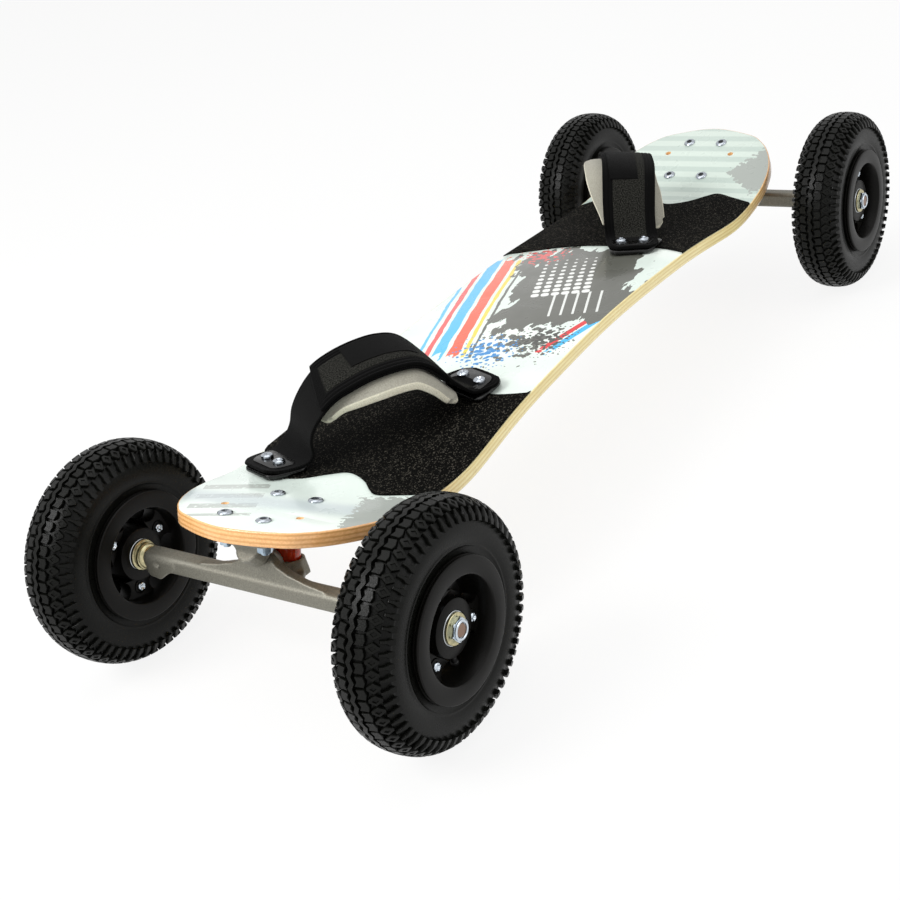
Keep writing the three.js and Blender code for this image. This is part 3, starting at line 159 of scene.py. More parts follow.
floor_mesh = bmesh.new()
bmesh.ops.create_grid(floor_mesh, x_segments=1, y_segments=1, size=FLOOR_HALF)
floor = mesh_object(floor_mesh, "floor")
floor_white = finish("matt white floor", FLOOR_WHITE, 0.9)
floor_nodes = floor_white.node_tree.nodes
floor_shade = floor_nodes["Principled BSDF"].outputs[0]
floor_share = add_node(floor_white, "Math MULTIPLY", seen_rays(floor_white), FLOOR_GLOW_SHARE)
floor_glow = add_node(floor_white, "Emission", PURE_WHITE, 1.0)
floor_mix = add_node(floor_white, "MixShader", floor_share, floor_shade, floor_glow)
feed(floor_nodes["Material Output"].inputs["Surface"], floor_mix)
floor.data.materials.append(floor_white)

surround = bpy.data.worlds.new("white surround")
surround.use_nodes = True
scene.world = surround
background = surround.node_tree.nodes["Background"]
feed(background.inputs["Color"], PURE_WHITE)
feed(
    background.inputs["Strength"],
    add_node(surround, "MapRange", seen_rays(surround), 0.0, 1.0, SURROUND_STRENGTH, 1.0),
)

for lamp_name, (place, size, power) in LAMPS.items():
    light = bpy.data.lights.new(lamp_name, "AREA")
    light.size = size
    light.energy = power
    lamp = bpy.data.objects.new(lamp_name, light)
    lamp.location = place
    lamp.rotation_euler = (-Vector(place)).to_track_quat("-Z", "Y").to_euler()
    scene.collection.objects.link(lamp)


# Tyres. Black knobbly rubber, eight inches by two: a smooth sidewall with two fine moulded
# ridges, a wavy rib round the middle, rows of lozenges and round-headed shoulder knobs.
TYRE_RADIUS = 0.100
TYRE_WHEELBASE = 0.8614
TYRE_TRACK = 0.333
AXLE_HEIGHT = 0.099692
TREAD_DEPTH = 0.0034
TREAD_PITCHES = 60
SPIN_STEPS = 120
# Half width and radius of the outer skin, from the crown to the bead.
TYRE_SECTION = (
    (0.0, 0.0966), (0.0070, 0.0962), (0.0135, 0.0944), (0.0190, 0.0910), (0.0226, 0.0866),
    (0.0243, 0.0815), (0.0252, 0.0760), (0.0250, 0.0700), (0.0240, 0.0650), (0.0230, 0.0612),
    (0.0226, 0.0580), (0.0224, 0.0530), (0.0222, 0.0506),
)
TYRE_INNER_SECTION = ((0.0165, 0.0506), (0.0190, 0.0600), (0.0195, 0.0740), (0.0150, 0.0865), (0.0, 0.0900))
SIDEWALL_RIDGES = (0.0640, 0.0838)
SIDEWALL_RIDGE_WIDTH = 0.0007
SIDEWALL_RIDGE_HEIGHT = 0.0005
# Each wheel: end, side, and the degrees by which it stands turned.
CORNERS = {
    "front_left": (1, 1, 20.0),
    "front_right": (1, -1, -27.0),
    "rear_left": (-1, 1, -45.0),
    "rear_right": (-1, -1, 9.5),
}


def smooth_line(points, steps, evenness=0.0):
    """Points along a smooth line through the given ones, with equal steps between two.

    At an evenness of 0.5 the line doesn't overshoot where the points stand unevenly.
    """
    knots = [Vector(p) for p in points]
    knots = [2 * knots[0] - knots[1], *knots, 2 * knots[-1] - knots[-2]]
    line = []
    for before, start, end, after in zip(knots, knots[1:], knots[2:], knots[3:]):
        pairs = ((before, start), (start, end), (end, after))
        first, middle, last = [(b - a).length ** evenness for a, b in pairs]
        pull = (start - before) / first - (end - before) / (first + middle) + (end - start) / middle
        leave = (end - start) / middle - (after - start) / (middle + last) + (after - end) / last
        for step in range(steps):
            t = step / steps
            line.append(
                start * (2 * t**3 - 3 * t**2 + 1)
                + pull * middle * (t**3 - 2 * t**2 + t)
                + end * (3 * t**2 - 2 * t**3)
                + leave * middle * (t**3 - t**2)
            )
    return [*line, knots[-2]]


def measured(line):
    """The length along a line up to each of its points."""
    return [0.0, *accumulate((b - a).length for a, b in zip(line, line[1:]))]


def place_along(line, lengths, way):
    """The place a given way along a line, and the number of the step that it is on."""
    step = next(i for i, length in enumerate(lengths) if length > way) - 1
    share = (way - lengths[step]) / (lengths[step + 1] - lengths[step])
    return line[step].lerp(line[step + 1], share), step


def revolved(bm, points, axis, steps, closed=False):
    """Turns a line of points all the way about an axis through the origin."""
    spots = [bm.verts.new(p) for p in points]
    ends = spots[1:] + spots[:1] if closed else spots[1:]
    edges = [bm.edges.new(pair) for pair in zip(spots, ends)]
    whole = {"cent": (0, 0, 0), "angle": 2 * math.pi, "use_merge": True}
    bmesh.ops.spin(bm, geom=spots + edges, axis=axis, steps=steps, **whole)
    bmesh.ops.remove_doubles(bm, verts=bm.verts, dist=1e-6)


def spun(bm, section, steps=SPIN_STEPS, closed=True):
    """Turns a section of (place along the axle, radius) pairs all the way about Y."""
    revolved(bm, [(0, y, r) for y, r in section], (0, 1, 0), steps, closed)


def turned(section, steps, matrix, closed=True):
    """A part that is turned from a section and carried to its place."""
    bm = bmesh.new()
    spun(bm, section, steps, closed)
    bm.transform(matrix)
    return bm


def piece(bm, name, body, material, sharp_degrees=38, replaces=None):
    """Makes a mesh a finished object that rides on a body and replaces a CAD node.

    Edges sharper than the angle stay hard. A piece that bends between two bodies is given None.
    """
    bm.normal_update()
    bmesh.ops.recalc_face_normals(bm, faces=bm.faces)
    if all(edge.is_manifold for edge in bm.edges) and bm.calc_volume(signed=True) < 0:
        bmesh.ops.reverse_faces(bm, faces=bm.faces[:])
    for face in bm.faces:
        face.smooth = True
    for edge in bm.edges:
        if len(edge.link_faces) == 2:
            edge.smooth = edge.calc_face_angle() < math.radians(sharp_degrees)
    made = mesh_object(bm, name)
    made.data.materials.append(material)
    if body:
        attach(made, body)
    if replaces:
        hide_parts(replaces)
    return made


def grain(material, size, depth, detail=3.0):
    """A fine uneven surface: lumps of a real size raised by a real height, all in metres."""
    lumps = add_node(material, "TexNoise", add_node(material, "TexCoord", outlet="Object"), 1 / size, detail)
    shade(material, {"Normal": add_node(material, "Bump", {"Height": lumps, "Distance": depth})})
    return lumps


def mottled(material, pattern, low, high, start=0.3, stop=0.7):
    """Goes from one number or colour to another while a pattern goes from start to stop."""
    if isinstance(low, float):
        return add_node(material, "MapRange", pattern, start, stop, low, high)
    ramp = add_node(material, "ValToRGB", pattern)
    for element, place, colour in zip(ramp.node.color_ramp.elements, (start, stop), (low, high)):
        element.position = place
        element.color = linear(colour)
    return ramp


def grained(material, size, depth, **spans):
    """Gives a material its grain, and lets the lumps vary its colour or roughness."""
    lumps = grain(material, size, depth)
    names = {"colour": "Base Color", "roughness": "Roughness"}
    shade(material, {names[name]: mottled(material, lumps, *span) for name, span in spans.items()})


# Moulded natural rubber: near black, with a soft sheen that breaks up on the mould's grain.
rubber = finish("moulded tyre rubber", 0x0B0B0A, 0.4, inputs={"Specular IOR Level": 0.13})
grained(rubber, 0.0011, 0.00012, colour=(0x060605, 0x0F100D), roughness=(0.26, 0.46))


def ridge(radius):
    """How far the sidewall's moulded ridges stand out at a radius."""
    reach = min(abs(radius - place) for place in SIDEWALL_RIDGES)
    return SIDEWALL_RIDGE_HEIGHT * math.exp(-((reach / SIDEWALL_RIDGE_WIDTH) ** 2))


tyre_skin = smooth_line([(y, r, 0) for y, r in TYRE_SECTION], 12)
tyre_skin = [Vector((p.x + ridge(p.y), p.y, 0)) for p in tyre_skin]
skin_lengths = measured(tyre_skin)


def on_tread(around, across, height):
    """A place on the tyre: angle round it, way across from the crown, height over its skin."""
    spot, step = place_along(tyre_skin, skin_lengths, min(abs(across), skin_lengths[-2]))
    run = (tyre_skin[step + 1] - tyre_skin[step]).normalized()
    radius = spot.y + run.x * height
    sign = 1 if across >= 0 else -1
    return Vector((radius * math.cos(around), sign * (spot.x - run.y * height), radius * math.sin(around)))


# Outlines on the unrolled tread, in shares of the pitch round it and metres across it.
LOZENGE = ((-0.48, 0.0), (-0.12, 0.0050), (0.14, 0.0050), (0.48, 0.0), (0.12, -0.0050), (-0.14, -0.0050))
ARROW = (
    (-0.46, 0.0034), (-0.06, 0.0046), (0.44, 0.0030), (0.34, -0.0038), (-0.04, -0.0024), (-0.44, -0.0040),
)
KEYHOLE = (
    (-0.14, -0.0052), (0.14, -0.0052), (0.18, -0.0006), (0.30, 0.0014), (0.26, 0.0044),
    (0.0, 0.0058), (-0.26, 0.0044), (-0.30, 0.0014), (-0.18, -0.0006),
)
# Each row: outline, place across the tread, share of a pitch by which it is set round.
TREAD_ROWS = ((ARROW, 0.0072, 0.0), (LOZENGE, 0.0162, 0.5), (KEYHOLE, 0.0256, 0.0))
KNOB_DRAFT = 0.00045
KNOB_EDGE = 0.00035
# The lozenges have a sunk top: where their row lies, its rim, its wall and its depth.
SUNK_FROM = 0.0115
SUNK_TO = 0.0205
SUNK_RIM = 0.0021
SUNK_WALL = 0.0003
SUNK_DEPTH = 0.0009
RIB_HALF_WIDTH = 0.0019
RIB_WAVE = 0.0013
RIB_STEPS_PER_PITCH = 4

tyre = bmesh.new()
pitch_angle = 2 * math.pi / TREAD_PITCHES
for count in range(TREAD_PITCHES):
    for side in (-1, 1):
        for outline, across, shift in TREAD_ROWS:
            middle = count + shift + (0.5 if side > 0 else 0.0)
            tyre.faces.new([tyre.verts.new((middle + a, side * (across + c), 0)) for a, c in outline][::side])
# The unrolled sheet counts pitches along X, so it is stretched to real size before it is raised.
PITCH_LENGTH = 2 * math.pi * TYRE_RADIUS / TREAD_PITCHES
bmesh.ops.scale(tyre, vec=(PITCH_LENGTH, 1, 1), verts=tyre.verts)
tyre.normal_update()
bmesh.ops.recalc_face_normals(tyre, faces=tyre.faces)
for face in tyre.faces:
    if face.normal.z < 0:
        face.normal_flip()
tops = list(tyre.faces)
bmesh.ops.inset_individual(tyre, faces=tops, thickness=KNOB_DRAFT, depth=TREAD_DEPTH - KNOB_EDGE)
bmesh.ops.inset_individual(tyre, faces=tops, thickness=KNOB_EDGE, depth=KNOB_EDGE)
sunk = [f for f in tops if SUNK_FROM < abs(f.calc_center_median().y) < SUNK_TO]
bmesh.ops.inset_individual(tyre, faces=sunk, thickness=SUNK_RIM, depth=0)
bmesh.ops.inset_individual(tyre, faces=sunk, thickness=SUNK_WALL, depth=-SUNK_DEPTH)


def rib_place(step, side):
    """A corner of the wavy rib, on the unrolled sheet."""
    wave = math.sin(step * 2 * math.pi / RIB_STEPS_PER_PITCH)
    return (step * PITCH_LENGTH / RIB_STEPS_PER_PITCH, side * RIB_HALF_WIDTH + RIB_WAVE * wave, 0)


def raised(bm, faces, height):
    """Raises faces along Z by a height, with walls, and gives the corners that went up."""
    made = bmesh.ops.extrude_face_region(bm, geom=faces)["geom"]
    lifted = [v for v in made if isinstance(v, bmesh.types.BMVert)]
    bmesh.ops.translate(bm, verts=lifted, vec=(0, 0, height))


rib_steps = TREAD_PITCHES * RIB_STEPS_PER_PITCH
low, high = [[tyre.verts.new(rib_place(i, side)) for i in range(rib_steps + 1)] for side in (-1, 1)]
rib_faces = [tyre.faces.new((low[i], low[i + 1], high[i + 1], high[i])) for i in range(rib_steps)]
raised(tyre, rib_faces, TREAD_DEPTH)
bmesh.ops.delete(tyre, geom=rib_faces, context="FACES_ONLY")
for spot in tyre.verts:
    spot.co = on_tread(spot.co.x / PITCH_LENGTH * pitch_angle, spot.co.y, spot.co.z)
bmesh.ops.remove_doubles(tyre, verts=tyre.verts, dist=1e-6)

inner = smooth_line([(y, r, 0) for y, r in TYRE_INNER_SECTION], 4)
half_section = [(p.x, p.y) for p in [*tyre_skin[::2], *inner[:-1]]]
spun(tyre, half_section + [(0.0, inner[-1].y)] + [(-y, r) for y, r in reversed(half_section)][:-1])
tyre_mesh = bpy.data.meshes.new("tyre pattern")
tyre.to_mesh(tyre_mesh)
tyre.free()


def station_place(corner):
    """Carries a piece made about its own axle, outer face to +Y, to its corner of the board."""
    end, side, _ = CORNERS[corner]
    place = Matrix.Translation((end * TYRE_WHEELBASE / 2, side * TYRE_TRACK / 2, AXLE_HEIGHT))
    return place @ Matrix.Rotation(0 if side > 0 else math.pi, 4, "Z")


def wheel_place(corner):
    """As station_place, but for what turns with the wheel."""
    return station_place(corner) @ Matrix.Rotation(math.radians(CORNERS[corner][2]), 4, "Y")


for corner in CORNERS:
    bm = bmesh.new()
    bm.from_mesh(tyre_mesh)
    bmesh.ops.transform(bm, matrix=wheel_place(corner), verts=bm.verts)
    piece(bm, f"knobbly_tyre_{corner}", f"wheel_{corner}", rubber, replaces=f"tyre_{corner}")


# Rims. Glass-filled nylon, each in two moulded halves screwed together: a flange with a
# grooved edge, a deep recess, three spokes and a boss for the bearing. The faces are satin.
FLANGE_RADIUS = 0.0577
RIM_FACE = 0.0288
BARREL_RADIUS = 0.0497
RECESS_RADIUS = 0.0425
BOSS_RADIUS = 0.0233
BOSS_FACE = 0.0203
BEARING_SEAT = 0.0141
SPOKE_FACE = 0.0140
SPOKE_COUNT = 3
SCREW_CIRCLE = 0.0310
SPLIT = 0.00015
RIM_BARREL_SECTION = (
    (SPLIT, 0.0405), (SPLIT, BARREL_RADIUS), (0.0222, BARREL_RADIUS), (0.0229, 0.0505),
    (0.0231, 0.0565), (0.0236, 0.0575), (0.0244, FLANGE_RADIUS), (0.0251, 0.0575),
    (0.0254, 0.0567), (0.0261, 0.0567), (0.0264, 0.0575), (0.0270, FLANGE_RADIUS),
    (0.0280, 0.0575), (0.0286, 0.0570), (RIM_FACE, 0.0562), (RIM_FACE, 0.0440),
    (0.0285, 0.0431), (0.0278, RECESS_RADIUS), (0.0120, 0.0412),
)
RIM_BOSS_SECTION = (
    (SPLIT, 0.0100), (0.0118, 0.0100), (0.0122, BEARING_SEAT), (0.0199, BEARING_SEAT), (BOSS_FACE, 0.0145),
    (BOSS_FACE, 0.0226), (0.0198, BOSS_RADIUS), (0.0125, 0.0240), (SPLIT, 0.0246),
)
# Half of one spoke seen from the side: way out from the axle, half width.
SPOKE_PLAN = (
    (0.0225, 0.0175), (0.0248, 0.0142), (0.0280, 0.0118), (0.0320, 0.0112), (0.0360, 0.0128),
    (0.0388, 0.0165), (0.0402, 0.0205), (0.0425, 0.0215),
)
SPOKE_EDGE = 0.0011
SCREW_PAD_RADIUS = 0.0066
SCREW_PAD_FACE = 0.0149
SCREW_PAD_SIDES = 24
SCREW_PAD_EDGE = 0.0003
HALF_TURNS = {"outer": 0, "inner": math.pi}

# Glass-filled nylon from a polished mould: brown black, satin, with faint flow marks.
nylon = finish("glass-filled nylon", 0x090806, 0.36, inputs={"Specular IOR Level": 0.13})
grained(nylon, 0.0007, 0.00002, roughness=(0.30, 0.44))


def bevel(bm, edges, offset, segments):
    """Rounds edges off by an offset."""
    settings = {"affect": "EDGES", "profile": 0.5, "material": -1}
    bmesh.ops.bevel(bm, geom=list(edges), offset=offset, segments=segments, **settings)


def level_edges(verts):
    """The edges of a bar or plate along Z that run round its two ends."""
    return {e for v in verts for e in v.link_edges if abs(e.verts[0].co.z - e.verts[1].co.z) < 1e-7}


def plate(bm, outline, low, high, edge, matrix):
    """A flat plate from an outline, raised along Z, its rims rounded, then carried to place."""
    before = set(bm.verts)
    raised(bm, [bm.faces.new([bm.verts.new((x, y, low)) for x, y in outline])], high - low)
    bevel(bm, level_edges([v for v in bm.verts if v not in before]), edge, 2)
    bmesh.ops.transform(bm, matrix=matrix, verts=[v for v in bm.verts if v not in before])


def spoke_turn(spoke):
    """Turns a piece about the axle to a spoke."""
    return Matrix.Rotation(spoke * 2 * math.pi / SPOKE_COUNT, 4, "Y")


half_rim = bmesh.new()
spun(half_rim, RIM_BARREL_SECTION)
spun(half_rim, RIM_BOSS_SECTION, 72)
spoke_outline = [(half, way) for way, half in SPOKE_PLAN]
spoke_outline += [(-half, way) for way, half in reversed(SPOKE_PLAN)]
pad_angles = [i * 2 * math.pi / SCREW_PAD_SIDES for i in range(SCREW_PAD_SIDES)]
pad = [(SCREW_PAD_RADIUS * math.cos(a), SCREW_CIRCLE + SCREW_PAD_RADIUS * math.sin(a)) for a in pad_angles]
flat_to_side = Matrix.Rotation(-math.pi / 2, 4, "X") @ Matrix.Scale(-1, 4, (0, 1, 0))
for spoke in range(SPOKE_COUNT):
    turn = spoke_turn(spoke) @ flat_to_side
    plate(half_rim, spoke_outline, SPLIT, SPOKE_FACE, SPOKE_EDGE, turn)
    plate(half_rim, pad, SPOKE_FACE - SPOKE_EDGE, SCREW_PAD_FACE, SCREW_PAD_EDGE, turn)
for corner in CORNERS:
    for half, turn in HALF_TURNS.items():
        bm = half_rim.copy()
        bm.transform(wheel_place(corner) @ Matrix.Rotation(turn, 4, "Z"))
        name = f"{half}_{corner}"
        piece(bm, f"moulded_rim_{name}", f"wheel_{corner}", nylon, replaces=f"rim_{name}")
half_rim.free()


# Rim screws. Pan heads with a cross recess, of bright zinc-plated steel. One stands on the
# pad of each spoke, on both faces of the wheel.
SCREW_HEAD_RADIUS = 0.0044
SCREW_HEAD_HEIGHT = 0.0022
# Rings of a pan head, from its rim up to the recess: shares of its radius and of its height.
PAN_HEAD_SHARES = ((0.97, 0.0), (1, 0.22), (0.93, 0.62), (0.74, 0.88))
CROSS_REACH = 0.0024
CROSS_DEPTH = 0.0014
CROSS_HALF_WIDTH_SHARE = 0.08
CROSS_MIDDLE_SHARE = 0.5

bright_zinc = finish("bright zinc plate", 0xC9D2DA, 0.22, 1.0)
grain(bright_zinc, 0.0009, 0.00003)


def pan_head(bm, radius, height, matrix):
    """A domed screw head on Z = 0 with a cross recess, carried to place."""
    before = set(bm.verts)
    rings = [(radius * wide, 0, height * up) for wide, up in PAN_HEAD_SHARES]
    revolved(bm, [*rings, (CROSS_REACH, 0, height), (CROSS_REACH * 0.4, 0, height)], (0, 0, 1), 24)
    bmesh.ops.holes_fill(bm, edges=[e for e in bm.edges if e.is_boundary], sides=0)
    new = [v for v in bm.verts if v not in before]
    for spot in new:
        reach = math.hypot(spot.co.x, spot.co.y)
        straight = min(abs(spot.co.x), abs(spot.co.y)) < CROSS_REACH * CROSS_HALF_WIDTH_SHARE
        in_cross = straight or reach < CROSS_REACH * CROSS_MIDDLE_SHARE
        if in_cross and reach <= CROSS_REACH * 1.02:
            spot.co.z -= CROSS_DEPTH * (1.15 - 0.75 * reach / CROSS_REACH)
    bmesh.ops.transform(bm, matrix=matrix, verts=new)


for corner in CORNERS:
    bm = bmesh.new()
    for face_turn in HALF_TURNS.values():
        for spoke in range(SPOKE_COUNT):
            lift = Matrix.Translation((0, SCREW_PAD_FACE, SCREW_CIRCLE))
            upright = Matrix.Rotation(-math.pi / 2, 4, "X") @ Matrix.Rotation(spoke * 0.9, 4, "Z")
            matrix = Matrix.Rotation(face_turn, 4, "Z") @ spoke_turn(spoke) @ lift @ upright
            pan_head(bm, SCREW_HEAD_RADIUS, SCREW_HEAD_HEIGHT, matrix)
    bm.transform(wheel_place(corner))
    piece(bm, f"rim_screws_{corner}", f"wheel_{corner}", bright_zinc)


# Inner tubes. Black butyl rings, hidden in the tyres, each with a brass-cored valve that
# comes through the barrel of the outer rim half.
TUBE_SECTION = ((0.0160, 0.0512), (0.0180, 0.0600), (0.0183, 0.0735), (0.0138, 0.0850), (0.0, 0.0890))
VALVE_FROM_SPLIT = 0.0070
VALVE_REACH = 0.0036
# Radius of the valve at each way out from the axle.
VALVE_STEPS = (
    (0.0034, 0.0520), (0.0034, 0.0395), (0.0027, 0.0390), (0.0027, 0.0330), (0.0024, 0.0324), (0.0, 0.0324),
)

butyl = finish("black butyl rubber", 0x151515, 0.5)
grain(butyl, 0.0008, 0.00005)
tube_half = smooth_line([(y, r, 0) for y, r in TUBE_SECTION], 3)
for corner in CORNERS:
    bm = bmesh.new()
    spun(bm, [(p.x, p.y) for p in tube_half] + [(-p.x, p.y) for p in reversed(tube_half)][1:], 60)
    revolved(bm, [(r, 0, -way) for r, way in VALVE_STEPS], (0, 0, 1), 16)
    stem = [v for v in bm.verts if math.hypot(v.co.x, v.co.y) < VALVE_REACH and v.co.z < 0]
    bmesh.ops.translate(bm, verts=stem, vec=(0, VALVE_FROM_SPLIT, 0))
    bm.transform(wheel_place(corner))
    name = f"tube_and_valve_{corner}"
    piece(bm, name, f"wheel_{corner}", butyl, replaces=f"inner_tube_{corner}")


# Bearings. Steel ball bearings with a black seal between two ground races, one pressed into
# the boss of each half rim.
BEARING_RADIUS = 0.0140
BEARING_BORE = 0.00615
BEARING_LOW = 0.0124
BEARING_FACE = 0.0204
BEARING_SECTION = (
    (BEARING_LOW, BEARING_BORE), (BEARING_FACE - 0.0003, BEARING_BORE), (BEARING_FACE, 0.0065),
    (BEARING_FACE, 0.0084), (BEARING_FACE - 0.0006, 0.0086), (BEARING_FACE - 0.0006, 0.0118),
    (BEARING_FACE, 0.0120), (BEARING_FACE, 0.0136), (BEARING_FACE - 0.0004, BEARING_RADIUS),
    (BEARING_LOW, BEARING_RADIUS),
)
ground_steel = finish("ground bearing steel", 0xB4B8BC, 0.25, 1.0)
grain(ground_steel, 0.0006, 0.00001)
for corner in CORNERS:
    for half, turn in HALF_TURNS.items():
        bm = turned(BEARING_SECTION, 48, wheel_place(corner) @ Matrix.Rotation(turn, 4, "Z"))
        name = f"bearing_{half}_{corner}"
        piece(bm, f"ball_{name}", f"wheel_{corner}", ground_steel, replaces=name)


# Axle nuts. A yellow zinc-plated washer and a bright hexagon nut whose round collar holds
# a nylon ring; they stay with the hanger while the wheel turns.
WASHER_RADIUS = 0.0130
WASHER_LOW = 0.0207
WASHER_HIGH = 0.0224
NUT_ACROSS_FLATS = 0.0180
NUT_HIGH = 0.0260
COLLAR_RADIUS = 0.0084
COLLAR_HIGH = 0.0277
AXLE_RADIUS = 0.0060
WASHER_SECTION = (
    (WASHER_LOW, AXLE_RADIUS + 0.0004), (WASHER_HIGH, AXLE_RADIUS + 0.0004),
    (WASHER_HIGH, WASHER_RADIUS - 0.0005), (WASHER_HIGH - 0.0004, WASHER_RADIUS),
    (WASHER_LOW, WASHER_RADIUS),
)
COLLAR_SECTION = (
    (NUT_HIGH - 0.0010, AXLE_RADIUS + 0.0002), (COLLAR_HIGH - 0.0004, AXLE_RADIUS + 0.0002),
    (COLLAR_HIGH, AXLE_RADIUS + 0.0007), (COLLAR_HIGH, COLLAR_RADIUS - 0.0007),
    (COLLAR_HIGH - 0.0006, COLLAR_RADIUS), (NUT_HIGH - 0.0010, COLLAR_RADIUS + 0.0002),
)
# Radians by which each nut stands turned.
NUT_TURNS = {"front_left": 0.2, "front_right": 0.7, "rear_left": 0.4, "rear_right": 0.1}

# Yellow passivated zinc: a straw gold film, a little uneven in tone.
yellow_zinc = finish("yellow passivated zinc", 0xBDB288, 0.30, 1.0)
grained(yellow_zinc, 0.0035, 0.00002, colour=(0xA19D7C, 0xCDC29A))


def off_flat(spot):
    """The angle from the middle of the nearest side of a hexagon about Z."""
    return math.atan2(spot.co.y, spot.co.x) % (math.pi / 3) - math.pi / 6


def hexagon(bm, across_flats, low, high, chamfer, matrix):
    """A hexagon bar along Z with its outer corners turned off at both ends."""
    before = set(bm.verts)
    radius = across_flats / math.sqrt(3)
    bmesh.ops.create_cone(
        bm, cap_ends=True, segments=48, radius1=radius, radius2=radius, depth=high - low,
        matrix=Matrix.Translation((0, 0, (low + high) / 2)),
    )
    bevel(bm, level_edges([v for v in bm.verts if v not in before]), chamfer, 1)
    new = [v for v in bm.verts if v not in before]
    for spot in new:
        reach = math.hypot(spot.co.x, spot.co.y)
        limit = across_flats / 2 / math.cos(off_flat(spot))
        if reach > limit:
            spot.co.xy *= limit / reach
    bmesh.ops.transform(bm, matrix=matrix, verts=new)


for corner, nut_turn in NUT_TURNS.items():
    truck = "truck_" + corner.split("_")[0]
    washer = turned(WASHER_SECTION, 64, station_place(corner))
    piece(washer, f"axle_washer_{corner}", truck, yellow_zinc)
    nut = bmesh.new()
    along_axle = Matrix.Rotation(-math.pi / 2, 4, "X") @ Matrix.Rotation(nut_turn, 4, "Z")
    hexagon(nut, NUT_ACROSS_FLATS, WASHER_HIGH, NUT_HIGH, 0.0007, along_axle)
    spun(nut, COLLAR_SECTION, 48)
    nut.transform(station_place(corner))
    piece(nut, f"locking_nut_{corner}", truck, bright_zinc, 25, f"axle_nut_{corner}")


# Spacers. Yellow zinc-plated, turned: a flange against the inner bearing and a domed nose
# with two grooves that meets the hanger's end.
SPACER_SECTION = (
    (-0.0207, 0.0062), (-0.0207, 0.0130), (-0.0211, 0.0135), (-0.0228, 0.0135), (-0.0232, 0.0130),
    (-0.0236, 0.0118), (-0.0244, 0.0114), (-0.0252, 0.0120), (-0.0262, 0.0121), (-0.0272, 0.0118),
    (-0.0277, 0.0108), (-0.0284, 0.0107), (-0.0290, 0.0113), (-0.0302, 0.0107), (-0.0314, 0.0098),
    (-0.0321, 0.0088), (-0.0322, 0.0062),
)
for corner in CORNERS:
    bm = turned(SPACER_SECTION, 64, station_place(corner))
    truck = "truck_" + corner.split("_")[0]
    name = f"flanged_spacer_{corner}"
    piece(bm, name, truck, yellow_zinc, replaces=f"axle_spacer_{corner}")


# Axles. Plain steel bar, browned by oil, with a chamfer and a turned thread at each end. It
# runs through the hanger and carries the spacers, the bearings and the nuts.
AXLE_END = 0.1933
AXLE_CHAMFER = 0.0007
THREAD_FROM_END = 0.0008
THREAD_PITCH = 0.0012
THREAD_DEPTH = 0.0003
THREAD_TURNS = 7
ENDS = {"front": 1, "rear": -1}
oiled_steel = finish("oiled steel bar", 0x8A7263, 0.34, 1.0)
grain(oiled_steel, 0.0008, 0.00002)
axle_half = [(AXLE_END, 0.0), (AXLE_END, AXLE_RADIUS - AXLE_CHAMFER)]
for turn in range(THREAD_TURNS):
    start = AXLE_END - THREAD_FROM_END - turn * THREAD_PITCH
    axle_half += [(start, AXLE_RADIUS), (start - THREAD_PITCH / 2, AXLE_RADIUS - THREAD_DEPTH)]
axle_section = axle_half + [(-y, r) for y, r in reversed(axle_half)]
for name, end in ENDS.items():
    place = Matrix.Translation((end * TYRE_WHEELBASE / 2, 0, AXLE_HEIGHT))
    bm = turned(axle_section, 40, place, closed=False)
    piece(bm, f"axle_bar_{name}", f"truck_{name}", oiled_steel, replaces=f"axle_{name}")


# Hangers. Sand-cast aluminium, tumbled: every edge is rounded, the skin is fine-pitted, and
# the edges are rubbed bright. The shape is the solid's, softened.
CAST_VOXEL = 0.0010
CAST_ROUNDS = 6

# Tumbled casting: a dull grey skin with a fine mottle, and paler bare metal on its edges.
cast_aluminium = finish("tumbled cast aluminium", 0x7D7B70, 0.5, 0.5)
cast_lumps = grain(cast_aluminium, 0.0012, 0.00009, 5.0)
pointiness = add_node(cast_aluminium, "NewGeometry", outlet="Pointiness")
edge_wear = add_node(cast_aluminium, "MapRange", pointiness, 0.52, 0.60)
cast_skin = mottled(cast_aluminium, cast_lumps, 0x6F6D63, 0x87857A, 0.32, 0.68)
shade(cast_aluminium, {"Base Color": add_node(cast_aluminium, "Mix RGBA", edge_wear, cast_skin, 0xB4B2A8)})


def evaluated(bm, kind, **settings):
    """The mesh after a modifier of the given kind and settings."""
    holder = mesh_object(bm, "work")
    modifier = holder.modifiers.new(kind, kind)
    for name, value in settings.items():
        setattr(modifier, name, value)
    done = bmesh.new()
    done.from_mesh(holder.evaluated_get(bpy.context.evaluated_depsgraph_get()).to_mesh())
    bpy.data.objects.remove(holder)
    return done


def cut_through(bm, place, normal, clear=False):
    """Cuts a mesh by a plane. The side that the normal points to can be cleared away."""
    geometry = bm.verts[:] + bm.edges[:] + bm.faces[:]
    bmesh.ops.bisect_plane(bm, geom=geometry, plane_co=place, plane_no=normal, clear_outer=clear)


def cast_from(node, cut=None):
    """A copy of a CAD solid with its edges rounded as a casting's are, cut off by a plane."""
    bm = bmesh.new()
    bm.from_mesh(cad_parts[node].data)
    bmesh.ops.remove_doubles(bm, verts=bm.verts, dist=1e-6)
    if cut:
        cut_through(bm, *cut, clear=True)
        bmesh.ops.holes_fill(bm, edges=[e for e in bm.edges if e.is_boundary], sides=0)
    bm = evaluated(bm, "REMESH", mode="VOXEL", voxel_size=CAST_VOXEL)
    ways = {"use_axis_x": True, "use_axis_y": True, "use_axis_z": True}
    for _ in range(CAST_ROUNDS):
        bmesh.ops.smooth_vert(bm, verts=bm.verts, factor=0.5, **ways)
    return bm


for name in ENDS:
    bm = cast_from(f"hanger_{name}")
    piece(bm, f"cast_hanger_{name}", f"truck_{name}", cast_aluminium, 180, f"hanger_{name}")


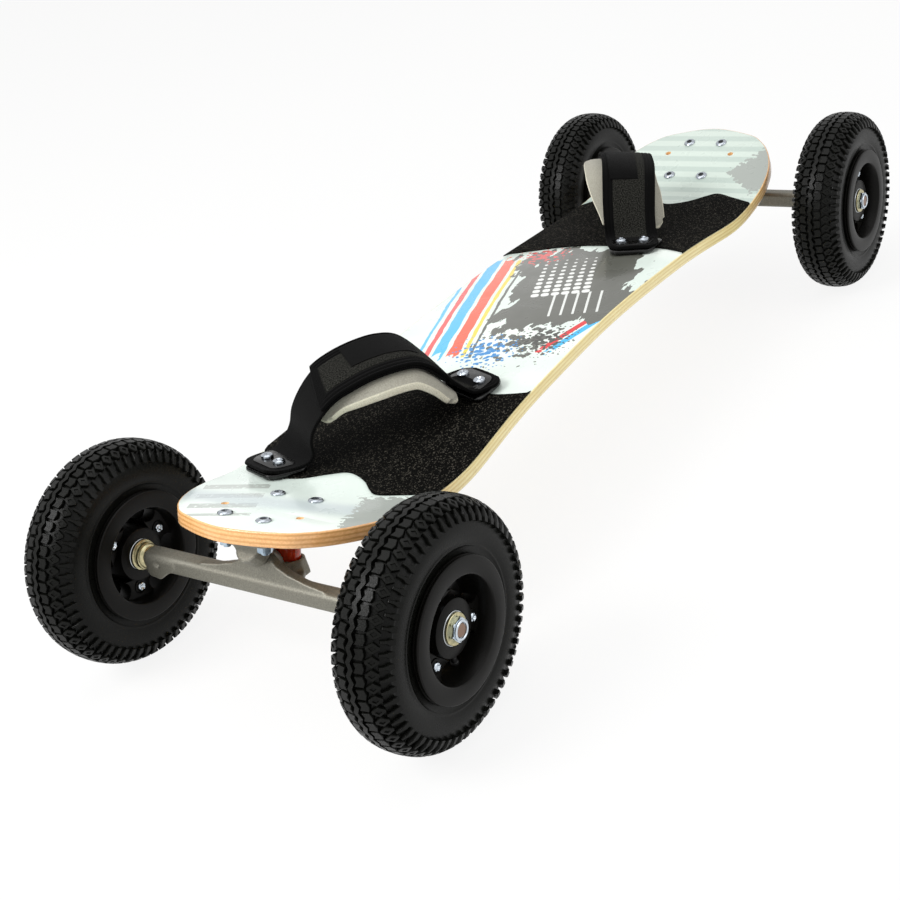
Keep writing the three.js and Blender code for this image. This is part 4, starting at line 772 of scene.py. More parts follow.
# Deck. Laminated maple, arched in the middle and folded up to two straight tips, with its
# edge rounded and lacquered. The places on the tips are measured along them and square to
# them from the middle of each truck's four bolts, at the underside.
TIP_ANGLE = math.radians(16.7)
TIP_SLOPE = math.tan(TIP_ANGLE)
AXLE_OUTBOARD = 0.010
AXLE_DEPTH = 0.050
HALF_DECK = 0.462
DECK_THICKNESS = 0.013
DECK_HALF_WIDTH = 0.1058
ARCH_TOP = AXLE_HEIGHT + 0.0515
ARCH_HALF_LENGTH = 0.235
ARCH_DROP = 0.0124
TIP_START = 0.358
DECK_EDGE = 0.0016
BEND_STEP = 0.008
SPARE_HOLE_OUTBOARD = 0.011
SPARE_HOLE_ACROSS = 0.0405
SPARE_HOLE_RADIUS = 0.0034
# Quarter outline: share of the half length, share of the widest half width.
DECK_OUTLINE_SHARES = (
    (0, 0.925), (0.2, 0.938), (0.37, 0.948), (0.5, 0.977), (0.6, 1), (0.71, 0.985), (0.78, 0.975),
    (0.83, 0.945), (0.87, 0.89), (0.91, 0.8), (0.945, 0.675), (0.975, 0.48), (1, 0),
)
OUTLINE_STEPS = 8
PLY = 0.00186
PAINT_DEPTH = 0.00015
STRIPE_PERIOD = 0.019


def on_truck(end, outboard, across, up):
    """A place in a truck's tip frame, on the board: along the tip, across, and square to it."""
    along = Vector((math.cos(TIP_ANGLE), 0, math.sin(TIP_ANGLE)))
    square = Vector((-math.sin(TIP_ANGLE), 0, math.cos(TIP_ANGLE)))
    spot = along * (outboard - AXLE_OUTBOARD) + square * (up + AXLE_DEPTH)
    spot += Vector((TYRE_WHEELBASE / 2, 0, AXLE_HEIGHT))
    return Vector((end * spot.x, across, spot.z))


def truck_matrix(end):
    """Carries a piece made on the tip's underside, X outboard and Z up, to a truck."""
    turn = Matrix.Rotation(0 if end > 0 else math.pi, 4, "Z") @ Matrix.Rotation(-TIP_ANGLE, 4, "Y")
    return Matrix.Translation(on_truck(end, 0, 0, 0)) @ turn


bolt_middle = on_truck(1, 0, 0, DECK_THICKNESS)
arch_slope = -2 * ARCH_DROP / ARCH_HALF_LENGTH
fold_start = (ARCH_HALF_LENGTH, ARCH_TOP - ARCH_DROP)
fold_end = (TIP_START, bolt_middle.z + TIP_SLOPE * (TIP_START - bolt_middle.x))
knee_rise = fold_end[1] - fold_start[1] + arch_slope * fold_start[0] - TIP_SLOPE * fold_end[0]
knee_x = knee_rise / (arch_slope - TIP_SLOPE)


def deck_top(x):
    """Height and slope of the deck's top face: an arch, a fold and a straight tip."""
    side = 1 if x >= 0 else -1
    x = abs(x)
    if x <= ARCH_HALF_LENGTH:
        height = ARCH_TOP - ARCH_DROP * (x / ARCH_HALF_LENGTH) ** 2
        return height, side * arch_slope * x / ARCH_HALF_LENGTH
    if x >= TIP_START:
        return fold_end[1] + TIP_SLOPE * (x - TIP_START), side * TIP_SLOPE
    a = fold_start[0] - 2 * knee_x + fold_end[0]
    b = 2 * (knee_x - fold_start[0])
    c = fold_start[0] - x
    t = -c / b if abs(a) < 1e-9 else (-b + math.sqrt(b * b - 4 * a * c)) / (2 * a)
    knee_z = fold_end[1] + TIP_SLOPE * (knee_x - TIP_START)
    height = (1 - t) ** 2 * fold_start[1] + 2 * t * (1 - t) * knee_z + t * t * fold_end[1]
    return height, side * (arch_slope + (TIP_SLOPE - arch_slope) * t)


def bent(x, y, height):
    """A flat place carried onto the deck, a given height above its top face."""
    top, slope = deck_top(x)
    run = math.hypot(1, slope)
    return Vector((x - height * slope / run, y, top + height / run))


def deck_layer(outline, low, high, edge):
    """A layer cut from flat stock to an outline, its rims rounded, and bent to the deck."""
    bm = bmesh.new()
    plate(bm, outline, low, high, edge, Matrix.Identity(4))
    reach = max(abs(v.co.x) for v in bm.verts)
    cut = BEND_STEP * math.floor(-reach / BEND_STEP)
    while cut < reach:
        cut_through(bm, (cut, 0, 0), (1, 0, 0))
        cut += BEND_STEP
    for spot in bm.verts:
        spot.co = bent(*spot.co)
    return bm


def deck_matrix(x, y):
    """Stands a piece made along Z on the deck's top face."""
    top, slope = deck_top(x)
    return Matrix.Translation((x, y, top)) @ Matrix.Rotation(-math.atan(slope), 4, "Y")


quarter = [(x * HALF_DECK, y * DECK_HALF_WIDTH, 0) for x, y in DECK_OUTLINE_SHARES]
lead = [(-x, y, 0) for x, y, _ in quarter[2:0:-1]]
tail = [(x, -y, 0) for x, y, _ in quarter[-2:-4:-1]]
quarter_line = smooth_line([*lead, *quarter, *tail], OUTLINE_STEPS)
quarter_line = quarter_line[len(lead) * OUTLINE_STEPS : (len(lead) + len(quarter) - 1) * OUTLINE_STEPS + 1]
front_half = [(p.x, p.y) for p in quarter_line[:-1]]
front_half += [(p.x, -p.y) for p in reversed(quarter_line[1:])]
deck_outline = front_half + [(-x, -y) for x, y in front_half]

# Painted maple: a pearl white ground on the top face, printed, under a thin clear coat. The
# edge and the underside are bare lacquered maple, whose plies show as fine lines.
coat = {"Coat Weight": 0.4, "Coat Roughness": 0.10}
painted_maple = finish("painted laminated maple", 0xF0F1EE, 0.30, inputs=coat)
node = partial(add_node, painted_maple)
deck_place = node("TexCoord", outlet="Object")
along_deck = node("SeparateXYZ", deck_place, outlet="X")
deck_depth = node("Attribute", attribute_name="depth", outlet="Fac")


def noise(size, detail=2.0, stretch=(1, 1, 1)):
    """Lumps of a real size on the deck, from about 0.3 to 0.7."""
    return node("TexNoise", node("Mapping", {"Vector": deck_place, "Scale": stretch}), 1 / size, detail)


def frayed(width, size, detail, stretch=(1, 1, 1)):
    """An uneven shift of an edge, over a width, with lumps of a size."""
    return node("Math MULTIPLY", node("Math SUBTRACT", noise(size, detail, stretch), 0.5), width)


def turned_axes(centre, degrees):
    """The deck's two axes about a centre, turned in its plane."""
    place = {"Vector": deck_place, "Location": (*centre, 0), "Rotation": (0, 0, math.radians(degrees))}
    axes = node("SeparateXYZ", node("Mapping", place, vector_type="TEXTURE")).node.outputs
    return axes["X"], axes["Y"]


def wave(material, way, period):
    """Goes between -1 and 1 along a way, once in every period."""
    turns = add_node(material, "Math MULTIPLY", way, 2 * math.pi / period)
    return add_node(material, "Math SINE", turns)


def in_box(axes, middles, halves):
    """One inside a rectangle on a pair of axes, and nought outside."""
    sides = [node("Math COMPARE", *side) for side in zip(axes, middles, halves)]
    return node("Math MULTIPLY", *sides)


def in_torn_box(axes, torn, halves):
    """One inside a rectangle about the axes' centre with a torn edge, and nought outside."""
    sides = []
    for axis, half in zip(axes, halves):
        reach = node("Math ADD", node("Math ABSOLUTE", axis), torn)
        sides.append(node("Math LESS_THAN", reach, half))
    return node("Math MULTIPLY", *sides)


# The white ground is faintly green grey, and clouded as sprayed pearl is.
clouds = node("MapRange SMOOTHSTEP", noise(0.09), 0.40, 0.62)
ground = node("Mix RGBA", clouds, 0xDCE8E0, 0xE8F0E9)
ground = node("Mix RGBA", node("MapRange SMOOTHSTEP", along_deck, 0.22, 0.30), ground, 0xCFDCD2)

# Front tip: soft pale bands straight across it. Rear tip: soft angled bars on its left half
# and a soft blue grey band that is a painted reflection. Both have a grey patch with a torn edge on the
# right.
bands = node("MapRange SMOOTHSTEP", wave(painted_maple, along_deck, STRIPE_PERIOD), -0.35, 0.45)
on_front_tip = node("MapRange SMOOTHSTEP", along_deck, 0.27, 0.30)
ground = node("Mix RGBA", node("Math MULTIPLY", bands, on_front_tip), ground, 0xBCCBC2)
bar_axes = turned_axes((-0.40, 0.045), 32)
bars = node("Math GREATER_THAN", wave(painted_maple, bar_axes[0], 0.027), 0.15)
bars = node("Math MULTIPLY", bars, in_box(bar_axes, (-0.004, 0.004), (0.044, 0.028)))
bars = node("Math MULTIPLY", bars, node("MapRange SMOOTHSTEP", noise(0.004), 0.30, 0.42))
bars = node("Math MULTIPLY", bars, node("Math LESS_THAN", along_deck, -0.33))
ground = node("Mix RGBA", bars, ground, 0xB3BAB3)
# Painted reflection: a soft blue grey band across the rear tip, fading out from its middle line.
from_reflection_band = node("Math ABSOLUTE", turned_axes((-0.392, 0.0), 12)[0])
painted_reflection_band = node("Math SUBTRACT", 1.0, node("MapRange SMOOTHSTEP", from_reflection_band, 0.004, 0.024))
ground = node("Mix RGBA", node("Math MULTIPLY", painted_reflection_band, 0.6), ground, 0xAEBAC0)
torn = frayed(0.030, 0.005, 3.0)
TIP_PATCHES = (((-0.375, -0.118), 24, (0.052, 0.050)), ((0.395, -0.098), -38, (0.042, 0.030)))
for centre, degrees, halves in TIP_PATCHES:
    ground = node("Mix RGBA", in_torn_box(turned_axes(centre, degrees), torn, halves), ground, 0xA3A9A3)

# Middle: straight ribbons of red, blue and orange, a dark patch with a torn edge over their
# end, rows of dots that fade, ruled lines, and spots of flung paint.
DARK_PRINT = 0x5A5B54
# Each ribbon: its middle and half width across, and its colour.
RIBBONS = (
    (0.0290, 0.0016, 0x4FB9EA), (0.0200, 0.0026, 0xE0504F), (0.0080, 0.0056, 0x45B7EC),
    (-0.0075, 0.0058, 0xEA5B3C), (-0.0190, 0.0020, 0xF0D24A), (-0.0265, 0.0014, DARK_PRINT),
)
EDGE_RIBBONS = ((0.006, 0.0034, 0xD8232A), (-0.003, 0.0036, 0x35B6EE))
# Each spot: its centre, its reach, the size of its drops and its colour.
FLUNG = (
    ((-0.072, -0.040), 0.056, 0.0110, DARK_PRINT), ((-0.064, -0.060), 0.040, 0.0048, 0x3C3D38),
    ((-0.098, -0.014), 0.040, 0.0060, 0x2B86C8), ((0.128, 0.052), 0.034, 0.0070, 0xD8423C),
)
in_middle = node("Math LESS_THAN", node("Math ABSOLUTE", along_deck), 0.24)
ribbon_x, ribbon_y = turned_axes((0.0, 0.058), 17)
ribbon_y = node("Math ADD", ribbon_y, frayed(0.004, 0.010, 4.0, (0.25, 1, 1)))
ribbon_end = node("Math MULTIPLY", noise(0.007, 3.0, (0.4, 1, 1)), 0.05)
ribbon_end = node("Math COMPARE", node("Math ADD", ribbon_x, ribbon_end), 0.022, 0.118)
ribbon_reach = node("Math MULTIPLY", ribbon_end, in_middle)
edge_x, edge_y = turned_axes((-0.005, -0.094), -14)
edge_end = node("Math ADD", edge_x, node("Math MULTIPLY", torn, 2.0))
edge_reach = node("Math COMPARE", edge_end, 0.0, 0.085)
print_colour = ground
for ribbons, way, reach in ((RIBBONS, ribbon_y, ribbon_reach), (EDGE_RIBBONS, edge_y, edge_reach)):
    for middle, half_width, colour in ribbons:
        ribbon = node("Math MULTIPLY", node("Math COMPARE", way, middle, half_width), reach)
        print_colour = node("Mix RGBA", ribbon, print_colour, colour)
dark_axes = turned_axes((0.062, -0.022), 22)
dark_patch = in_torn_box(dark_axes, frayed(0.09, 0.012, 5.0, (0.35, 1, 1)), (0.100, 0.062))
print_colour = node("Mix RGBA", dark_patch, print_colour, DARK_PRINT)
dots = node("Math MULTIPLY", *[wave(painted_maple, way, 0.021) for way in dark_axes])
dot_size = node("Math MULTIPLY", node("Math ADD", dark_axes[0], 0.02), 6.5)
dots = node("Math GREATER_THAN", node("Math ABSOLUTE", dots), node("Math ADD", 0.35, dot_size))
dots = node("Math MULTIPLY", dots, in_box(dark_axes, (0.022, 0.0105), (0.0525, 0.0315)))
print_colour = node("Mix RGBA", dots, print_colour, 0xE8EAE6)
rules = node("Math GREATER_THAN", wave(painted_maple, dark_axes[1], 0.012), 0.80)
rules = node("Math MULTIPLY", rules, in_box(dark_axes, (-0.055, -0.012), (0.026, 0.030)))
print_colour = node("Mix RGBA", rules, print_colour, 0xDFE2DE)
for centre, reach, size, colour in FLUNG:
    squares = [node("Math MULTIPLY", way, way) for way in turned_axes(centre, 0)]
    far = node("Math SQRT", node("Math ADD", *squares))
    limit = node("Math SUBTRACT", 1.0, node("Math DIVIDE", far, reach))
    cells = node("TexVoronoi", deck_place, 1 / size, voronoi_dimensions="2D")
    cells = node("Math ADD", cells, frayed(0.9, size * 0.6, 3.0))
    drops = node("Math LESS_THAN", cells, node("Math MULTIPLY", limit, 0.62))
    drops = node("Math MULTIPLY", drops, node("Math LESS_THAN", far, reach))
    print_colour = node("Mix RGBA", drops, print_colour, colour)

# Bare maple: pale at the waist and browner at the tips, with every other ply a shade darker
# and streaks of grain along the board.
grain_streaks = noise(0.0016, 3.0, (0.05, 1, 1))
ply_step = node("Math FRACT", node("Math DIVIDE", deck_depth, 2 * PLY))
ply_share = node("Math MULTIPLY", node("Math COMPARE", ply_step, 0.5, 0.22), 0.55)
at_tip = node("MapRange SMOOTHSTEP", node("Math ABSOLUTE", along_deck), 0.27, 0.40)
light_ply = node("Mix RGBA", at_tip, 0xF8EAAE, 0xF2BC80)
dark_ply = node("Mix RGBA", at_tip, 0xE0C47C, 0xC88548)
maple_colour = node("Mix RGBA", ply_share, light_ply, 0xDDBE74)
maple_colour = node("Mix RGBA", node("Math MULTIPLY", ply_share, at_tip), maple_colour, 0xC58148)
streaks = node("Math MULTIPLY", node("MapRange SMOOTHSTEP", grain_streaks, 0.42, 0.62), 0.3)
maple_colour = node("Mix RGBA", streaks, maple_colour, dark_ply)
# The bores of the spare holes are painted paler than the lacquered edge: painted light on their walls, which
# lie in shade inside the deck.
bored = node("Attribute", attribute_name="bored", outlet="Fac")
bore_painted_light = node("Math MULTIPLY", bored, node("Math GREATER_THAN", deck_depth, 0.0002 - DECK_THICKNESS))
maple_colour = node("Mix RGBA", bore_painted_light, maple_colour, 0xFFD9A2)
is_painted = node("Math GREATER_THAN", deck_depth, -PAINT_DEPTH)
plied = node("Math ADD", ply_share, grain_streaks)
plied = node("Math MULTIPLY", plied, node("Math SUBTRACT", 1.0, is_painted))
shade(painted_maple, {
    "Base Color": node("Mix RGBA", is_painted, maple_colour, print_colour),
    "Roughness": mottled(painted_maple, noise(0.02), 0.24, 0.38),
    "Normal": node("Bump", {"Height": plied, "Distance": 0.0001}),
})

deck = deck_layer(deck_outline, -DECK_THICKNESS, 0, DECK_EDGE)
drills = bmesh.new()
holes = []
for end in ENDS.values():
    for side in (1, -1):
        middle = on_truck(end, SPARE_HOLE_OUTBOARD, side * SPARE_HOLE_ACROSS, DECK_THICKNESS)
        hole = deck_matrix(middle.x, middle.y)
        holes.append(hole.inverted())
        size = {"radius1": SPARE_HOLE_RADIUS, "radius2": SPARE_HOLE_RADIUS, "depth": 4 * DECK_THICKNESS}
        bmesh.ops.create_cone(drills, cap_ends=True, segments=24, matrix=hole, **size)
drill = mesh_object(drills, "drills")
deck = evaluated(deck, "BOOLEAN", operation="DIFFERENCE", object=drill, solver="EXACT")
bpy.data.objects.remove(drill)
depth_layer = deck.verts.layers.float.new("depth")
bored_layer = deck.verts.layers.float.new("bored")
for spot in deck.verts:
    top, slope = deck_top(spot.co.x)
    spot[depth_layer] = (spot.co.z - top) / math.hypot(1, slope)
    near = min(math.hypot(*(back @ spot.co).xy) for back in holes)
    spot[bored_layer] = 1.0 if near < SPARE_HOLE_RADIUS * 1.05 else 0.0
piece(deck, "laminated_deck", "board", painted_maple, 50, "deck")


# Grip sheets. Black grit cloth, glued on under each foot. Its outer edge is cut in a wave
# and its sides follow the deck.
GRIP_LOW = 0.0003
GRIP_HIGH = 0.0015
GRIP_EDGE = 0.0003
GRIP_OUTER_SHARES = (
    (0.69, -1.02), (0.716, -0.74), (0.733, -0.54), (0.72, -0.42), (0.69, -0.26), (0.672, -0.05),
    (0.692, 0.12), (0.724, 0.3), (0.733, 0.52), (0.7, 0.77), (0.63, 1.02),
)
GRIP_INNER_SHARES = (
    (0.255, 1.02), (0.331, 0.46), (0.357, 0.12), (0.366, -0.38), (0.362, -0.68), (0.337, -1.02),
)
GRIP_INSET = 0.0007
GRIP_SIDE_STEPS = 24
# Real grit is 0.3 mm. It is drawn at 1 mm, so that its painted glints show at this distance.
GRIT = 0.0010

# Silicon carbide grit on black cloth: dull black and rough, with scattered warm specks of painted glint in
# its colour.
grit_cloth = finish("silicon carbide grit cloth", 0x050504, 0.8, inputs={"Specular IOR Level": 0.04})
grain(grit_cloth, GRIT, 0.0005, 2.0)
grit_place = add_node(grit_cloth, "TexCoord", outlet="Object")
grit_cells = add_node(grit_cloth, "TexVoronoi", grit_place, 1 / GRIT, outlet="Color")
grit_pick = add_node(grit_cloth, "SeparateColor", grit_cells)
# Painted glints: the brightest random cells get a paler warm colour, standing in for light caught on the
# grit.
painted_glint = add_node(grit_cloth, "MapRange", grit_pick, 0.82, 1.0)
shade(grit_cloth, {"Base Color": add_node(grit_cloth, "Mix RGBA", painted_glint, 0x040403, 0x4A4740)})


def deck_half_width(x):
    """Half the deck's width at a place along it."""
    x = abs(x)
    for (x1, y1), (x2, y2) in zip(front_half, front_half[1:]):
        if x1 <= x <= x2:
            return y1 + (y2 - y1) * (x - x1) / max(x2 - x1, 1e-9)
    return 0.0


for name, end in ENDS.items():
    edges = []
    for shares in (GRIP_OUTER_SHARES, GRIP_INNER_SHARES):
        knots = [(end * x * HALF_DECK, y * DECK_HALF_WIDTH, 0) for x, y in shares]
        edges.append([(p.x, p.y) for p in smooth_line(knots, 10)])
    outline = []
    for edge, other in ((edges[0], edges[1]), (edges[1], edges[0])):
        outline += [(x, y) for x, y in edge if abs(y) < deck_half_width(x) - GRIP_INSET - 0.0004]
        start, stop = edge[-1], other[0]
        for i in range(GRIP_SIDE_STEPS + 1):
            x = start[0] + (stop[0] - start[0]) * i / GRIP_SIDE_STEPS
            outline.append((x, math.copysign(deck_half_width(x) - GRIP_INSET, start[1])))
    bm = deck_layer(outline[::end], GRIP_LOW, GRIP_HIGH, GRIP_EDGE)
    piece(bm, f"grit_sheet_{name}", "board", grit_cloth, 60, f"grip_{name}")


# Truck bolts. Four low button heads in each tip, chromed, with a hexagon socket, and the
# blued locking nuts under the baseplate.
BOLT_SPACING_ALONG = 0.0635
BOLT_SPACING_ACROSS = 0.0413
BOLT_SEAT = DECK_THICKNESS + 0.0003
BUTTON_SECTION = (
    (0.0, 0.0064), (0.0005, 0.0065), (0.0013, 0.0060), (0.0019, 0.0049), (0.0022, 0.0040), (0.0021, 0.0035),
)
SOCKET_RADIUS = 0.0034
SOCKET_FLOOR = 0.0003
# The turned socket is drawn in to a hexagon between these radii.
SOCKET_ZONE = (0.0028, 0.0037)
HEXAGON_SHARE = 0.866
BOLT_FLATS = 0.0058
PLATE_NUT_FLATS = 0.0112
PLATE_UNDER = -0.0063
NUT_DEPTH = 0.0062
BOLT_SHOWS = 0.0022

bright_chrome = finish("chromed steel", 0xA9AFB6, 0.16, 1.0)
grained(bright_chrome, 0.002, 0.00002, roughness=(0.10, 0.24))
blued_zinc = finish("blue passivated zinc", 0xA9C0D4, 0.28, 1.0)
grained(blued_zinc, 0.003, 0.00003, colour=(0x93A9BC, 0xC3D3DE))
# Painted shade in the sockets: a dark hexagon on each socket's floor, with a little of the metal's gloss.
socket_shade_steel = finish("steel with painted socket shade", 0x101113, 0.45, 0.4)
grained(socket_shade_steel, 0.001, 0.00005, colour=(0x090A0B, 0x1D1F22))
Y_TO_Z = Matrix.Rotation(math.pi / 2, 4, "X")


def join(bm, part):
    """Adds a working mesh to another and frees it."""
    mesh = bpy.data.meshes.new("part")
    part.to_mesh(mesh)
    part.free()
    bm.from_mesh(mesh)


def button_head(bm, matrix):
    """A low domed head on Z = 0 with a hexagon socket."""
    socket = [(0.0021, SOCKET_RADIUS), (SOCKET_FLOOR, SOCKET_RADIUS * 0.98), (SOCKET_FLOOR, 0.0)]
    head = turned([(0.0, 0.0), *BUTTON_SECTION, *socket], 36, Y_TO_Z, closed=False)
    for spot in head.verts:
        if SOCKET_ZONE[0] < math.hypot(spot.co.x, spot.co.y) < SOCKET_ZONE[1]:
            spot.co.xy *= HEXAGON_SHARE / math.cos(off_flat(spot))
    head.transform(matrix)
    join(bm, head)


for name, end in ENDS.items():
    heads, socket_shades, nuts = bmesh.new(), bmesh.new(), bmesh.new()
    for way in (-1, 1):
        for side in (-1, 1):
            place = Matrix.Translation((way * BOLT_SPACING_ALONG / 2, side * BOLT_SPACING_ACROSS / 2, 0))
            # Each bolt stopped at an angle of its own.
            twist = Matrix.Rotation(0.6 * way + 0.9 * side, 4, "Z")
            seated = truck_matrix(end) @ place @ Matrix.Translation((0, 0, BOLT_SEAT)) @ twist
            button_head(heads, seated)
            # A dark hexagon on the socket's floor: painted shade in the recess.
            hexagon(socket_shades, BOLT_FLATS, SOCKET_FLOOR + 0.0001, SOCKET_FLOOR + 0.0009, 0.0002, seated)
            under = truck_matrix(end) @ place @ twist
            nut_end = PLATE_UNDER - NUT_DEPTH
            hexagon(nuts, PLATE_NUT_FLATS, nut_end, PLATE_UNDER, 0.0006, under)
            hexagon(nuts, BOLT_FLATS, nut_end - BOLT_SHOWS, nut_end, 0.0004, under)
    piece(heads, f"button_heads_{name}", "board", bright_chrome, 30)
    piece(socket_shades, f"bolt_socket_shades_{name}", "board", socket_shade_steel, 25)
    piece(nuts, f"plate_nuts_{name}", "board", blued_zinc, 25)


# Baseplates. The same casting as the hangers: a flat plate under the tip with a boss for
# the kingpin and a housing for the pivot. The solid's bolts are left off.
for name, end in ENDS.items():
    square = truck_matrix(end).to_3x3() @ Vector((0, 0, 1))
    bm = cast_from(f"baseplate_{name}", (on_truck(end, 0, 0, -0.0003), square))
    piece(bm, f"cast_baseplate_{name}", "board", cast_aluminium, 180, f"baseplate_{name}")


# Kingpins. Bright zinc-plated bolts through the bushings, with a cupped washer and a
# locking nut at the lower end.
KINGPIN_INBOARD = 0.015
KINGPIN_RADIUS = 0.005
KINGPIN_HEAD_TOP = -0.0006
KINGPIN_HEAD_DEPTH = 0.005
KINGPIN_HEAD_FLATS = 0.0150
KINGPIN_NUT_FLATS = 0.0155
KINGPIN_NUT_TOP = -0.0592
KINGPIN_NUT_END = -0.0661
KINGPIN_END = -0.0668
CUP_WASHER_TOP = -0.0571
CUP_WASHER_SECTION = (
    (CUP_WASHER_TOP, 0.0052), (CUP_WASHER_TOP, 0.0106), (CUP_WASHER_TOP + 0.0004, 0.0110),
    (CUP_WASHER_TOP - 0.0010, 0.0112), (CUP_WASHER_TOP - 0.0019, 0.0104),
    (CUP_WASHER_TOP - 0.0020, 0.0052),
)
KINGPIN_COLLAR_SECTION = (
    (KINGPIN_NUT_END, 0.0052), (KINGPIN_NUT_END, 0.0064), (KINGPIN_NUT_END + 0.0005, 0.0070),
    (KINGPIN_NUT_END + 0.0020, 0.0072), (KINGPIN_NUT_END + 0.0020, 0.0052),
)
KINGPIN_SHANK = (
    (KINGPIN_HEAD_TOP - 0.001, 0.0), (KINGPIN_HEAD_TOP - 0.001, KINGPIN_RADIUS),
    (KINGPIN_END + 0.0005, KINGPIN_RADIUS), (KINGPIN_END, KINGPIN_RADIUS - 0.0006), (KINGPIN_END, 0.0),
)
for name, end in ENDS.items():
    bm = bmesh.new()
    head_under = KINGPIN_HEAD_TOP - KINGPIN_HEAD_DEPTH
    hexagon(bm, KINGPIN_HEAD_FLATS, head_under, KINGPIN_HEAD_TOP, 0.0006, Matrix.Identity(4))
    nut_turn = Matrix.Rotation(0.4, 4, "Z")
    hexagon(bm, KINGPIN_NUT_FLATS, KINGPIN_NUT_END + 0.0018, KINGPIN_NUT_TOP, 0.0007, nut_turn)
    for section in (CUP_WASHER_SECTION, KINGPIN_COLLAR_SECTION):
        join(bm, turned(section, 48, Y_TO_Z))
    join(bm, turned(KINGPIN_SHANK, 32, Y_TO_Z, closed=False))
    bm.transform(truck_matrix(end) @ Matrix.Translation((-KINGPIN_INBOARD, 0, 0)))
    piece(bm, f"kingpin_and_nut_{name}", "board", bright_zinc, 25, f"kingpin_{name}")


# Bushings. Clear red cast urethane, barrel shaped above the hanger's ring and coned below
# it; light goes a little way in, so they look wet and glow at the edge. On the board the face
# on the ring turns with the hanger and the other face stays with the kingpin, so steering
# squeezes them; here they are baked in place on no body, and those two faces are left unused.
BUSHING_BORE = 0.00525
BUSHING_SECTIONS = {
    "upper": (
        (-0.0163, BUSHING_BORE), (-0.0163, 0.0112), (-0.0168, 0.0119), (-0.0185, 0.0122), (-0.0250, 0.0125),
        (-0.0310, 0.0124), (-0.0350, 0.0121), (-0.0361, 0.0116), (-0.0362, BUSHING_BORE),
    ),
    "lower": (
        (-0.0458, BUSHING_BORE), (-0.0459, 0.0116), (-0.0468, 0.0120), (-0.0500, 0.0117),
        (-0.0545, 0.0107), (-0.0563, 0.0099), (-0.0568, 0.0092), (-0.0568, BUSHING_BORE),
    ),
}

# Urethane scatters light inside: deep red body, brighter where it is thin, glossy skin.
glow = {"Subsurface Weight": 0.35, "Subsurface Radius": (1.0, 0.15, 0.05), "Subsurface Scale": 0.004}
red_urethane = finish("clear red urethane", 0xC4300E, 0.16, inputs=glow)
grained(red_urethane, 0.004, 0.00004, colour=(0xB02A0C, 0xD8441A))

for name, end in ENDS.items():
    for level, section in BUSHING_SECTIONS.items():
        place = truck_matrix(end) @ Matrix.Translation((-KINGPIN_INBOARD, 0, 0)) @ Y_TO_Z
        bm = turned(section, 56, place)
        replaced = f"bushing_{level}_{name}"
        bushing = piece(bm, f"urethane_{replaced}", None, red_urethane, 50, replaced)
        faces = [place @ Vector((0, section[i][0], 0)) for i in (0, -1)]
        fixed, turning = faces if level == "upper" else faces[::-1]
        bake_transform(bushing)
        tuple(fixed)
        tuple(turning)


# Pivot cups. Black urethane sleeves pressed into the baseplate, round the hanger's pin. They
# stand on the line from the kingpin's ring to the pivot.
PIVOT_OUTBOARD = 0.020
PIVOT_DEPTH = 0.020
RING_DEPTH = 0.041
CUP_SECTION = (
    (-0.0040, 0.00635), (-0.0042, 0.0080), (-0.0038, 0.0090), (-0.0030, 0.0092), (0.0056, 0.0092),
    (0.0060, 0.0088), (0.0060, 0.0), (0.0032, 0.0), (0.0030, 0.00635),
)
cup_urethane = finish("black cup urethane", 0x1A1513, 0.4)
grained(cup_urethane, 0.002, 0.00004, roughness=(0.32, 0.50))
for name, end in ENDS.items():
    pivot = on_truck(end, PIVOT_OUTBOARD, 0, -PIVOT_DEPTH)
    axis = pivot - on_truck(end, -KINGPIN_INBOARD, 0, -RING_DEPTH)
    turn = Vector((0, 0, 1)).rotation_difference(axis.normalized()).to_matrix().to_4x4()
    bm = turned(CUP_SECTION, 48, Matrix.Translation(pivot) @ turn @ Y_TO_Z)
    piece(bm, f"pivot_sleeve_{name}", "board", cup_urethane, 40, f"pivot_cup_{name}")


# Binding anchors. Two black moulded plates to each binding, with a thinner clamp plate over
# the strap's tab and two bright bolts through both into the deck.
ANCHOR_TIP_ALONG = 0.328
ANCHOR_TIP_ACROSS = 0.065
ANCHOR_SPAN_ALONG = 0.168
ANCHOR_SPAN_ACROSS = -0.105
SPAN = math.hypot(ANCHOR_SPAN_ALONG, ANCHOR_SPAN_ACROSS)
ANCHOR_TURN = math.radians(14)
# Length, width, corner radius and taper of the anchor and of the clamp over it.
ANCHOR_PLAN = (0.038, 0.062, 0.009, 0.3)
CLAMP_PLAN = (0.024, 0.048, 0.008, 0.2)
ANCHOR_LOW = 0.0018
ANCHOR_HIGH = 0.0058
TAB_TOP = 0.0094
CLAMP_LOW = TAB_TOP + 0.0001
CLAMP_HIGH = TAB_TOP + 0.0009
# Each anchor: place along the span, way out, spacing of its bolts.
ANCHORS = {"tip": (0.0, -1, 0.020), "centre": (SPAN, 1, 0.024)}
ANCHOR_BOLT_RADIUS = 0.0058
ANCHOR_BOLT_HEIGHT = 0.0036

# Polished black nylon: deep black with clean soft highlights along its rounded rim.
anchor_nylon = finish("polished black nylon", 0x040404, 0.22, inputs={"Specular IOR Level": 0.4})
grained(anchor_nylon, 0.004, 0.00005, roughness=(0.16, 0.34))


def binding_matrix(end):
    """A binding's frame: X along the strap from the anchor near the tip, Y along the foot."""
    turn = Matrix.Rotation(math.atan2(ANCHOR_SPAN_ACROSS, -end * ANCHOR_SPAN_ALONG), 4, "Z")
    return Matrix.Translation((end * ANCHOR_TIP_ALONG, ANCHOR_TIP_ACROSS, 0)) @ turn


